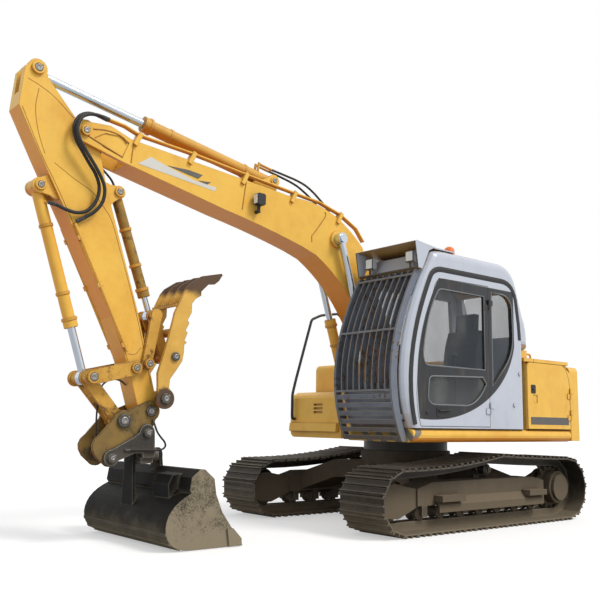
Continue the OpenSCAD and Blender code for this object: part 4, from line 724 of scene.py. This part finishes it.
HOSE_ROUTES = {
    "tip_hose_a": [
        (-0.216, 0.134, 0.160), (-0.150, 0.137, 0.172), (-0.075, 0.146, 0.178), (0.008, 0.163, 0.158),
        (0.085, 0.183, 0.097), (0.122, 0.195, -0.005), (0.100, 0.197, -0.105), (0.039, 0.192, -0.194),
        (-0.036, 0.186, -0.289), (-0.111, 0.181, -0.384), (-0.150, 0.177, -0.489), (-0.135, 0.171, -0.604),
        (-0.068, 0.164, -0.705), (0.024, 0.155, -0.746), (0.118, 0.145, -0.736), (0.195, 0.122, -0.706),
        (0.254, 0.068, -0.680)
    ],
    "tip_hose_b": [
        (-0.216, 0.166, 0.160), (-0.150, 0.171, 0.166), (-0.080, 0.185, 0.162), (0.0, 0.208, 0.138),
        (0.072, 0.228, 0.083), (0.108, 0.238, -0.017), (0.082, 0.238, -0.115), (0.017, 0.232, -0.203),
        (-0.057, 0.226, -0.290), (-0.136, 0.217, -0.392), (-0.187, 0.208, -0.494), (-0.185, 0.196, -0.606),
        (-0.135, 0.179, -0.698), (-0.050, 0.158, -0.771), (0.026, 0.142, -0.822)
    ],
    "thumb_hose": [
        (-0.464, -0.020, -0.114), (-0.405, -0.020, -0.086), (-0.340, -0.020, -0.066),
        (-0.275, -0.020, -0.068), (-0.225, -0.020, -0.105), (-0.212, -0.020, -0.165),
        (-0.240, -0.020, -0.228), (-0.298, -0.020, -0.278), (-0.355, -0.020, -0.330),
        (-0.397, -0.020, -0.399)
    ],
    "crest_hose_a": [
        (-0.020, 0.030, 0.141), (-0.122, 0.030, 0.130), (-0.240, 0.030, 0.116), (-0.358, 0.030, 0.100),
        (-0.490, 0.030, 0.068), (-0.604, 0.030, 0.014), (-0.688, 0.030, -0.041), (-0.764, 0.030, -0.095),
        (-0.840, 0.030, -0.165), (-0.905, 0.030, -0.235), (-0.948, 0.030, -0.294)
    ],
    "crest_hose_b": [
        (-0.020, -0.030, 0.141), (-0.100, -0.030, 0.128), (-0.190, -0.030, 0.112), (-0.308, -0.030, 0.090),
        (-0.430, -0.030, 0.056), (-0.540, -0.030, 0.004), (-0.625, -0.030, -0.045),
        (-0.700, -0.030, -0.098), (-0.770, -0.030, -0.158), (-0.830, -0.030, -0.215),
        (-0.868, -0.030, -0.248)
    ],
    "hitch_hose": [
        (0.181, 0.0, 0.229), (0.225, 0.0, 0.262), (0.285, 0.0, 0.276), (0.345, 0.0, 0.266),
        (0.398, 0.0, 0.230), (0.430, 0.0, 0.172), (0.442, 0.0, 0.100), (0.446, 0.0, 0.0),
        (0.446, 0.0, -0.120), (0.440, 0.0, -0.240), (0.426, 0.0, -0.338)
    ],
    "tilt_hose": [
        (-0.020, 0.161, -0.070), (-0.034, 0.178, -0.125), (-0.055, 0.192, -0.185), (-0.090, 0.200, -0.232),
        (-0.125, 0.202, -0.270), (-0.135, 0.202, -0.305), (-0.110, 0.202, -0.332), (-0.055, 0.202, -0.342),
        (0.020, 0.201, -0.342), (0.100, 0.199, -0.341), (0.180, 0.197, -0.340), (0.256, 0.194, -0.340)
    ],
}

# Each hose: the pin that its route starts from, its radius, and the bodies at its two ends
HOSES = {
    "tip_hose_a": ("arm_swing", 0.0155, "boom_unit", "arm_unit"),
    "tip_hose_b": ("arm_swing", 0.0155, "boom_unit", "arm_unit"),
    "thumb_hose": ("arm_swing", 0.010, "boom_unit", "arm_unit"),
    "crest_hose_a": ("arm_tube_turn", 0.012, "arm_tube", "boom_unit"),
    "crest_hose_b": ("arm_tube_turn", 0.012, "arm_tube", "boom_unit"),
    "hitch_hose": ("bucket_curl", 0.008, "arm_unit", "coupler_unit"),
    "tilt_hose": ("bucket_curl", 0.009, "coupler_unit", "coupler_unit"),
}


def line_length(path):
    """The length of a line through points."""
    return sum((b - a).length for a, b in zip(path, path[1:]))


class EXCAVATOR_OT_hoses(Step, bpy.types.Operator):
    """Hangs the hydraulic hoses on their routes, with crimped ends."""

    bl_idname = "excavator.hoses"
    bl_label = "Hoses"

    def execute(self, context):
        trim = context.scene.excavator_trim
        for name, (pin, radius, first, last) in HOSES.items():
            path = curve([PINS[pin] + Vector(p) for p in HOSE_ROUTES[name]])
            hose = Piece(name + "_rubber").tube(path, radius, 14)
            hose = hose.done("rubber", first if first == last else None)
            crimp = min(trim.ferrule, 5 * radius)
            for end, body, spots in (("near", first, path), ("far", last, path[::-1])):
                ferrule(name + "_" + end + "_ferrule", spots, radius, crimp, body)
            if first != last:
                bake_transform(hose)
            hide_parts(name)
            line_length(path)
        return {"FINISHED"}


def ferrule(name, spots, radius, length, body):
    """A crimped steel sleeve on the end of a hose, with a hexagon at its fitting."""
    piece = Piece(name)
    inward = (spots[2] - spots[0]).normalized()
    lip, ridge = radius * 1.02, radius * 1.08
    profile = [(lip, 0.0)]
    for k in range(4):
        start = length * (0.22 + 0.18 * k)
        profile += [(ridge, start), (ridge, start + length * 0.1), (ridge * 0.93, start + length * 0.12)]
    profile.append((lip, length))
    piece.lathe(spots[0], inward, profile, 16)
    foot, flat = radius * 1.03, radius * 1.09
    hexagon = [(foot, 0.001), (flat, 0.003), (flat, length * 0.16), (foot, length * 0.18)]
    piece.lathe(spots[0], inward, hexagon, 6)
    return piece.done("iron", body)


class EXCAVATOR_OT_finishes(Step, bpy.types.Operator):
    """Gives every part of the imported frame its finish."""

    bl_idname = "excavator.finishes"
    bl_label = "Finishes"

    def execute(self, context):
        for name, node in frame["nodes"].items():
            if name in HOSES:
                continue
            node.data.materials.clear()
            node.data.materials.append(finish(NODE_FINISH[name]))
        return {"FINISHED"}


# Trim of the front


def both_sides(distance):
    """The two outward directions across the machine, with the distance of that face."""
    return [(ACROSS * sign, sign * distance) for sign in (1, -1)]


def tool_pin(x, z):
    """A point in the machine's middle plane, by its offset from the bucket pin."""
    return PINS["bucket_curl"] + Vector((x, 0.0, z))


# Pin ends: place, distance of the end from the middle, radius and body
PIN_ENDS = [
    (PINS["boom_lift"], 0.206, 0.036, "house"),
    (PINS["arm_swing"], 0.180, 0.036, "boom_unit"),
    (PINS["arm_tube_turn"], 0.103, 0.036, "boom_unit"),
    (ARM.at(-0.575, 0.281, 0.0), 0.132, 0.044, "arm_unit"),
    (PINS["bucket_tube_turn"], 0.0985, 0.036, "arm_unit"),
    (PINS["thumb_tube_turn"], 0.0895, 0.036, "arm_unit"),
    (PINS["lever_turn"], 0.195, 0.036, "lever_pair"),
    (PINS["link_turn"], 0.200, 0.044, "lever_pair"),
    (tool_pin(0.262, -0.088), 0.169, 0.046, "coupler_unit"),
    (PINS["bucket_curl"], 0.163, 0.036, "coupler_unit"),
    (tool_pin(0.040, -0.190), 0.203, 0.029, "coupler_unit"),
    (tool_pin(0.375, -0.405), 0.203, 0.029, "coupler_unit"),
    (PINS["thumb_close"], 0.255, 0.036, "thumb_unit"),
    (PINS["thumb_push_turn"], 0.255, 0.031, "thumb_unit"),
    (PINS["thumb_link_turn"], 0.195, 0.036, "thumb_guide"),
]
# Finish of the rings round the pins of the bodies that aren't plain yellow
RING_FINISH = {
    "coupler_unit": "head", "thumb_unit": "head", "lever_pair": "link_yellow", "thumb_guide": "link_yellow",
}
# Turned profiles: shares of the pin's radius, and heights from its end
PIN_RING = [(1.32, -0.004), (1.32, 0.006), (1.2, 0.011), (0.86, 0.011), (0.8, 0.004)]
PIN_END = [(0.8, -0.002), (0.78, 0.013), (0.66, 0.017), (0.3, 0.017), (0.24, 0.012), (0.08, 0.012)]
# Where the bolt that keeps a pin stands on its ring
KEEPER_TURN = 2.4
KEEPER_SPOT = Vector((math.cos(KEEPER_TURN), 0, math.sin(KEEPER_TURN))) * 1.05


class EXCAVATOR_OT_pin_ends(Step, bpy.types.Operator):
    """Closes the pins with turned rings, end plates and keeper bolts."""

    bl_idname = "excavator.pin_ends"
    bl_label = "Pin ends"

    def execute(self, context):
        bolt = context.scene.excavator_trim.bolt
        rings, ends = {}, {}
        for place, reach, radius, body in PIN_ENDS:
            ring = rings.setdefault(body, Piece("pin_rings_" + body))
            end = ends.setdefault(body, Piece("pin_ends_" + body))
            for out, side in both_sides(reach):
                spot = Vector((place.x, side, place.z))
                for piece, profile in ((ring, PIN_RING), (end, PIN_END)):
                    piece.lathe(spot, out, [(share * radius, height) for share, height in profile], 24)
                end.bolt(spot + KEEPER_SPOT * radius + out * 0.010, out, bolt * 0.5)
        for body, ring in rings.items():
            ring.done(RING_FINISH.get(body, "yellow"), body)
            ends[body].done("pin_steel", body)
        return {"FINISHED"}


# Cylinder glands: tube joint, rod joint, tube length, gland radius and body
GLANDS = [
    ("boom_tube_left_turn", "boom_rod_left_slide", 1.270, 0.066, "boom_tube_left"),
    ("boom_tube_right_turn", "boom_rod_right_slide", 1.270, 0.066, "boom_tube_right"),
    ("arm_tube_turn", "arm_rod_slide", 1.540, 0.077, "arm_tube"),
    ("bucket_tube_turn", "bucket_rod_slide", 1.240, 0.0615, "bucket_tube"),
    ("thumb_tube_turn", "thumb_rod_slide", 0.980, 0.0565, "thumb_tube"),
]
GLAND_BOLTS = 8
# Places of the bands: back from the tube's end for the gland and the middle, and up from its foot
GLAND_BACK, MIDDLE_BACK, FOOT_UP = 0.072, 0.30, 0.34
# Profile of a band: its rise over the tube and its place along it
BAND = [(0.001, -0.016), (0.007, -0.012), (0.007, 0.012), (0.001, 0.016)]


class EXCAVATOR_OT_glands(Step, bpy.types.Operator):
    """Rings each cylinder with its retaining bands and the bolts of its gland."""

    bl_idname = "excavator.glands"
    bl_label = "Cylinder glands"

    def execute(self, context):
        bolt = context.scene.excavator_trim.bolt
        for turn, slide, length, radius, body in GLANDS:
            axis = SLIDES[slide]
            base = PINS[turn]
            side = axis.cross(ACROSS).normalized()
            piece = Piece("gland_" + body)
            tube = radius * 0.88
            bands = ((length - GLAND_BACK, radius), (length - MIDDLE_BACK, tube), (FOOT_UP, tube))
            for place, inner in bands:
                piece.lathe(base + axis * place, axis, [(inner + rise, along) for rise, along in BAND], 28)
            for k in range(GLAND_BOLTS):
                spin = math.tau * (k + 0.5) / GLAND_BOLTS
                out = (side * math.cos(spin) + ACROSS * math.sin(spin)) * radius * 0.80
                piece.bolt(base + axis * (length - 0.001) + out, axis, bolt * 0.6)
            piece.done("tube_yellow", body)
        return {"FINISHED"}


# Lines on the sides of the boom and the arm, by length and height from their first pins


BOOM_WELDS = [
    [(4.118, 0.190), (4.090, 0.105), (4.058, 0.022)],
    [(2.925, 0.655), (2.882, 0.512), (2.838, 0.374)],
    [(1.905, 1.012), (1.880, 0.960), (1.930, 0.720), (1.945, 0.660), (1.915, 0.600)],
    [(4.500, 0.062), (4.400, 0.130), (4.311, 0.168), (4.230, 0.178), (4.175, 0.160)],
    [(4.510, -0.024), (4.330, -0.006), (4.148, 0.014)],
]
# Stripes: finish, rise over the paint, and outlines
BOOM_STRIPES = {
    "boom_band_pale": ("stripe", 0.0022, [
        [(4.002, 0.058), (3.922, 0.200), (3.760, 0.225), (3.420, 0.296), (3.195, 0.384), (3.194, 0.339)]]),
    "boom_band_dark": ("stripe_grey", 0.0034, [
        [(3.742, 0.237), (3.530, 0.345), (3.383, 0.397), (3.407, 0.331)],
        [(3.399, 0.317), (3.272, 0.392), (3.295, 0.346)]]),
}
BOOM_LAMP = (2.735, 0.555, 0.230)
ARM_WELDS = [
    [(-0.255, 0.500), (0.166, 0.430), (0.431, 0.366), (0.75, 0.300), (1.64, 0.128), (2.12, 0.082)],
    [(0.682, -0.030), (0.808, -0.072), (1.05, -0.086), (1.64, -0.102), (2.35, -0.082)],
    [(-0.49, 0.390), (-0.43, 0.306), (-0.326, 0.196), (-0.13, 0.060)],
    [(-0.400, 0.315), (-0.246, 0.383), (-0.075, 0.410), (0.069, 0.408), (0.160, 0.400)],
    [(0.247, 0.332), (0.391, 0.198), (0.532, 0.051), (0.682, -0.030)],
    [(1.98, -0.07), (2.02, 0.0), (2.00, 0.075)],
]


def welds(name, member, lines, face, radius, steps, body):
    """Weld seams along lines on both sides of a member."""
    piece = Piece(name)
    for _, side in both_sides(face):
        for line in lines:
            piece.tube(curve([member.at(x, z, side) for x, z in line], steps), radius, 8)
    piece.done("seam", body)


class EXCAVATOR_OT_boom_trim(Step, bpy.types.Operator):
    """Welds, slanted stripes and lamp lens of the boom."""

    bl_idname = "excavator.boom_trim"
    bl_label = "Boom trim"

    def execute(self, context):
        sink = 0.0005
        radius = context.scene.excavator_trim.seam
        welds("boom_welds", BOOM, BOOM_WELDS, BOOM_FACE - sink, radius, 8, "boom_unit")
        self.stripes()
        self.lamp()
        return {"FINISHED"}

    def stripes(self):
        """Pale band and dark wedges on the outer half of the boom's sides."""
        sink, edge = 0.0002, 0.0004
        for name, (kind, rise, outlines) in BOOM_STRIPES.items():
            piece = Piece(name)
            for out, side in both_sides(BOOM_FACE - sink):
                for outline in outlines:
                    piece.plate([BOOM.at(x, z, side) for x, z in outline], out * rise, edge)
            piece.done(kind, "boom_unit")

    def lamp(self):
        """Lens and rim of the work lamp, on its front."""
        middle = BOOM.at(*BOOM_LAMP)
        middle.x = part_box("work_lamp")[1].x
        for name, kind, wide, tall, start, depth in (("work_lamp_rim", "black", 0.033, 0.055, -0.004, 0.010),
                                                     ("work_lamp_lens", "lamp", 0.027, 0.047, 0.003, 0.008)):
            outline = [middle + Vector((start, y * wide, z * tall)) for y, z in
                       ((-1, -1), (1, -1), (1, 1), (-1, 1))]
            Piece(name).plate(outline, (depth, 0, 0), 0.004).done(kind, "boom_unit")


class EXCAVATOR_OT_arm_trim(Step, bpy.types.Operator):
    """Weld seams on the arm's sides."""

    bl_idname = "excavator.arm_trim"
    bl_label = "Arm trim"

    def execute(self, context):
        sink = 0.0035
        radius = context.scene.excavator_trim.seam * 0.75
        welds("arm_welds", ARM, ARM_WELDS, ARM_FACE - sink, radius, 6, "arm_unit")
        return {"FINISHED"}


class EXCAVATOR_OT_tool_trim(Step, bpy.types.Operator):
    """Wear strips of the bucket's back and bolts of its cutting edge."""

    bl_idname = "excavator.tool_trim"
    bl_label = "Tool trim"

    def execute(self, context):
        half, thick, edge = 0.758, 0.009, 0.003
        steps, span, starts = 24, 2, (5, 12, 19)
        lip = tool_pin(-0.612, -1.134)
        back = tool_pin(0.158, -0.940)
        heel = (back.x - 0.230, 0, lip.z)
        shell = bend(heel, (back.x, 0, lip.z + 0.010), back, steps)
        strips = Piece("bucket_wear_strips")
        for start in starts:
            one, two = shell[start], shell[start + span]
            along = (two - one).normalized()
            out = Vector((along.z, 0, -along.x))
            outline = [one - ACROSS * half, one + ACROSS * half, two + ACROSS * half, two - ACROSS * half]
            strips.plate(outline, out * thick, edge)
        strips.done("bucket", "bucket_unit")
        bolts = Piece("bucket_edge_bolts")
        first, pitch, count = -0.64, 0.16, 9
        for k in range(count):
            spot = Vector((lip.x + 0.115, first + pitch * k, lip.z + 0.021))
            bolts.bolt(spot, (0.1, 0, 1), context.scene.excavator_trim.bolt)
        bolts.done("bucket", "bucket_unit")
        return {"FINISHED"}


# Trim of the cab and the house


def rim(*spots):
    """A line in the plane of the cab's side from points (x, z), and curves of three such points and a
    number of steps."""
    line = []
    for spot in spots:
        if len(spot) == 2:
            line.append(Vector((spot[0], 0, spot[1])))
        else:
            *corners, steps = spot
            bow = bend(*[(x, 0, z) for x, z in corners], steps)
            line += bow[1:] if line and bow[0] == line[-1] else bow
    return line


WINDOW_RIMS = {
    "door_window_seal": ("entry_door", rim(
        ((1.000, 1.650), (1.075, 1.660), (1.070, 1.790), 4),
        ((1.070, 1.790), (1.010, 2.180), (0.860, 2.390), 6),
        ((0.860, 2.390), (0.830, 2.450), (0.770, 2.450), 4), (0.080, 2.450), (0.080, 1.650))),
    "low_window_seal": ("entry_door", rim(
        (0.120, 1.570), ((0.060, 1.500), (0.200, 1.280), (0.400, 1.262), 6),
        ((0.880, 1.260), (1.010, 1.260), (1.000, 1.360), 5),
        ((0.990, 1.470), (0.990, 1.545), (0.920, 1.545), 4))),
    "quarter_window_seal": ("house", rim(
        (-0.050, 1.480), (-0.050, 2.515), ((-0.260, 2.510), (-0.400, 2.495), (-0.425, 2.365), 5),
        ((-0.432, 2.050), (-0.430, 1.850), (-0.270, 1.690), 6))),
}
DRIP_LINE = rim(
    ((1.195, 1.06), (1.385, 1.690), (0.985, 2.500), 12), ((0.955, 2.560), (0.915, 2.645), (0.790, 2.655), 5),
    ((-0.250, 2.660), (-0.455, 2.655), (-0.500, 2.470), 7), (-0.545, 2.200), (-0.560, 2.020))
# A rectangle with cut corners, as shares of half its width and half its height
CUT_CORNERS = [(-1, -0.9), (-0.9, -1), (0.9, -1), (1, -0.9), (1, 0.9), (0.9, 1), (-0.9, 1), (-1, 0.9)]
# The lamps under the hood: their middles across the cab, and their height below its top
ROOF_LAMPS = (0.467, 1.055)
ROOF_LAMP_DROP = 0.090


class EXCAVATOR_OT_cab_trim(Step, bpy.types.Operator):
    """Seals, drip strip, door handle, lock and lamp lenses of the cab."""

    bl_idname = "excavator.cab_trim"
    bl_label = "Cab trim"

    def execute(self, context):
        trim = context.scene.excavator_trim
        wall = ACROSS * HOUSE_SIDE
        for name, (body, line) in WINDOW_RIMS.items():
            loop = [p + wall for p in line]
            Piece(name).tube([*loop, *loop[:2]], trim.seal, 8, 0.6).done("seal", body)
        Piece("drip_strip").tube([p + wall for p in DRIP_LINE], trim.drip, 10, 0.22).done("black", "house")
        self.handle(wall)
        self.lamps()
        return {"FINISHED"}

    def handle(self, wall):
        """Dished plate and lever of the door handle, and the lock beside it."""
        dish = [(0.66, 1.15), (0.68, 1.13), (0.86, 1.13), (0.88, 1.15), (0.88, 1.23), (0.86, 1.25),
                (0.68, 1.25), (0.66, 1.23)]
        piece = Piece("door_handle").plate([p + wall for p in rim(*dish)], ACROSS * 0.006, 0.004)
        lever = [(0.695, 0.004, 1.205), (0.705, 0.018, 1.205), (0.835, 0.020, 1.200), (0.850, 0.006, 1.198)]
        piece.tube(curve([Vector(p) + wall for p in lever], 4), 0.010, 10)
        lock = [(0.022, 0), (0.022, 0.004), (0.016, 0.007), (0.006, 0.007), (0.005, 0.004)]
        piece.lathe(Vector((1.02, 0, 1.18)) + wall, ACROSS, lock, 18)
        piece.done("black", "entry_door")

    def lamps(self):
        """Lenses and rims of the two lamps under the hood."""
        rims, glass = Piece("roof_lamp_rims"), Piece("roof_lamp_lenses")
        height = CAB_TOP - ROOF_LAMP_DROP
        for middle in ROOF_LAMPS:
            for piece, half, start, depth in ((rims, 0.054, 1.068, 0.006), (glass, 0.046, 1.073, 0.007)):
                outline = [(start, middle + y * half, height + z * (half + 0.004)) for y, z in CUT_CORNERS]
                piece.plate(outline, (depth, 0, 0), 0.003)
        rims.done("black", "house")
        glass.done("lamp", "house")


LATCH = [(-0.035, -0.05), (0.035, -0.05), (0.045, -0.04), (0.045, 0.04), (0.035, 0.05), (-0.035, 0.05),
         (-0.045, 0.04), (-0.045, -0.04)]
BEACON_DOME = [(0.060, 0), (0.062, 0.02), (0.058, 0.055), (0.046, 0.082), (0.026, 0.096), (0.006, 0.100)]


class EXCAVATOR_OT_house_trim(Step, bpy.types.Operator):
    """Latches and bands of the side doors, and the dome of the beacon."""

    bl_idname = "excavator.house_trim"
    bl_label = "House trim"

    def execute(self, context):
        for node, body, sign in (("side_door_left", "left_door", 1), ("side_door_right", "right_door", -1)):
            self.latch(node, body, sign)
            self.band(node, body, sign)
        low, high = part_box("beacon")
        foot = (low + high) / 2
        foot.z = high.z - 0.004
        Piece("beacon_dome").lathe(foot, UP, BEACON_DOME, 24).done("amber", "house")
        return {"FINISHED"}

    def latch(self, node, body, sign):
        """Plate and grip at the front edge of a side door."""
        low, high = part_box(node)
        out = ACROSS * sign
        spot = Vector((high.x - 0.11, HOUSE_SIDE * sign, low.z + 0.45))
        piece = Piece("latch_" + body).plate([spot + p for p in rim(*LATCH)], out * 0.005, 0.003)
        grip = [spot + out * 0.008 + Vector((x, 0, 0)) for x in (-0.02, 0.025)]
        piece.tube(grip, 0.008, 10).done("black", body)

    def band(self, node, body, sign):
        """Plain band along the foot of a side door."""
        low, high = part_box(node)
        inset, tall = 0.05, 0.085
        first, last, foot = low.x + inset, high.x - inset, low.z + inset
        outline = rim((first, foot), (last, foot), (last, foot + tall), (first, foot + tall))
        side = ACROSS * HOUSE_SIDE * sign
        Piece("band_" + body).plate([p + side for p in outline], ACROSS * sign * 0.002, 0.001).done(
            "stripe_grey", body)


# Stage


WHITE = (1.0, 1.0, 1.0)
FILL_TINT = (0.93, 0.96, 1.0)
KEY_TINT = (1.0, 0.97, 0.92)
KEY_SIDE = Vector((-0.4, 0.8, 1.0))
KEY_SPREAD = math.radians(20)
# The floor: half its width, its depth below the tracks, its grey, and its glow for the camera
FLOOR_REACH, FLOOR_DROP, FLOOR_GREY, FLOOR_GLOW = 60.0, 0.002, (0.6, 0.6, 0.6), 0.45


def ray(tree, kind):
    """1 for light paths of one kind."""
    return tree.node("ShaderNodeLightPath", {}, {}, f"Is {kind} Ray")


class EXCAVATOR_OT_stage(Step, bpy.types.Operator):
    """Lays a pale floor and lights it softly."""

    bl_idname = "excavator.stage"
    bl_label = "Stage"

    def execute(self, context):
        context.scene.view_settings.view_transform = "Standard"
        self.studio(context.scene)
        self.floor(context.scene)
        self.key(context.scene)
        return {"FINISHED"}

    def studio(self, scene):
        """An even fill light that the camera, metal and glass see as white."""
        world = bpy.data.worlds.new("studio")
        scene.world = world
        tree = Tree(world)
        seen = (ray(tree, "Camera") + ray(tree, "Glossy") + ray(tree, "Transmission")).low(1.0)
        fill = tree.node("ShaderNodeBackground", {},
                         {"Color": FILL_TINT, "Strength": scene.excavator_stage.sky})
        white = tree.node("ShaderNodeBackground", {}, {"Color": WHITE})
        choose = tree.node("ShaderNodeMixShader", {}, {0: seen, 1: fill, 2: white})
        tree.put(tree.nodes["World Output"].inputs["Surface"], choose)

    def floor(self, scene):
        """A matt floor that glows a little for the camera, so that it fades into the white."""
        mesh = bpy.data.meshes.new("floor")
        mesh.from_pydata([(x * FLOOR_REACH, y * FLOOR_REACH, 0) for x, y in
                          ((-1, -1), (1, -1), (1, 1), (-1, 1))], [], [(0, 1, 2, 3)])
        floor = bpy.data.objects.new("floor", mesh)
        floor.location.z = -FLOOR_DROP
        scene.collection.objects.link(floor)
        tree = Surface("floor_white")
        tree.set(base_color=FLOOR_GREY, roughness=0.9)
        glow = tree.node("ShaderNodeEmission", {},
                         {"Color": WHITE, "Strength": ray(tree, "Camera") * FLOOR_GLOW})
        both = tree.node("ShaderNodeAddShader", {}, {0: Wire(tree, tree.shader.outputs[0]), 1: glow})
        tree.put(tree.nodes["Material Output"].inputs["Surface"], both)
        mesh.materials.append(tree.material)

    def key(self, scene):
        """The soft key light."""
        lamp = bpy.data.lights.new("key", "SUN")
        lamp.energy = scene.excavator_stage.sun
        lamp.angle = KEY_SPREAD
        lamp.color = KEY_TINT
        key = bpy.data.objects.new("key", lamp)
        key.rotation_euler = KEY_SIDE.to_track_quat("Z", "Y").to_euler()
        scene.collection.objects.link(key)


OPERATORS = (EXCAVATOR_OT_camera, EXCAVATOR_OT_hoses, EXCAVATOR_OT_finishes, EXCAVATOR_OT_pin_ends,
             EXCAVATOR_OT_glands, EXCAVATOR_OT_boom_trim, EXCAVATOR_OT_arm_trim, EXCAVATOR_OT_tool_trim,
             EXCAVATOR_OT_cab_trim, EXCAVATOR_OT_house_trim, EXCAVATOR_OT_stage)
SETTINGS = {"excavator_colours": ColourSettings, "excavator_trim": TrimSettings,
            "excavator_stage": StageSettings}


class EXCAVATOR_PT_panel(bpy.types.Panel):
    """Sidebar panel that lists the settings and the steps."""

    bl_idname = "EXCAVATOR_PT_panel"
    bl_label = "Excavator"
    bl_space_type = "VIEW_3D"
    bl_region_type = "UI"
    bl_category = "Excavator"

    def draw(self, context):
        """Lists every setting, then every step."""
        for group, settings in SETTINGS.items():
            for name in settings.__annotations__:
                self.layout.prop(getattr(context.scene, group), name)
        for operator in OPERATORS:
            self.layout.operator(operator.bl_idname)


CLASSES = (*SETTINGS.values(), *OPERATORS, EXCAVATOR_PT_panel)


def register():
    """Registers the settings, the steps and the panel."""
    for made in CLASSES:
        bpy.utils.register_class(made)
    for group, settings in SETTINGS.items():
        setattr(bpy.types.Scene, group, bpy.props.PointerProperty(type=settings))


def unregister():
    """Takes them away again."""
    for group in SETTINGS:
        delattr(bpy.types.Scene, group)
    for made in reversed(CLASSES):
        bpy.utils.unregister_class(made)


def main():
    """Runs every step in order."""
    register()
    for operator in OPERATORS:
        getattr(bpy.ops.excavator, operator.bl_idname.split(".")[1])()


if __name__ == "__main__":
    main()
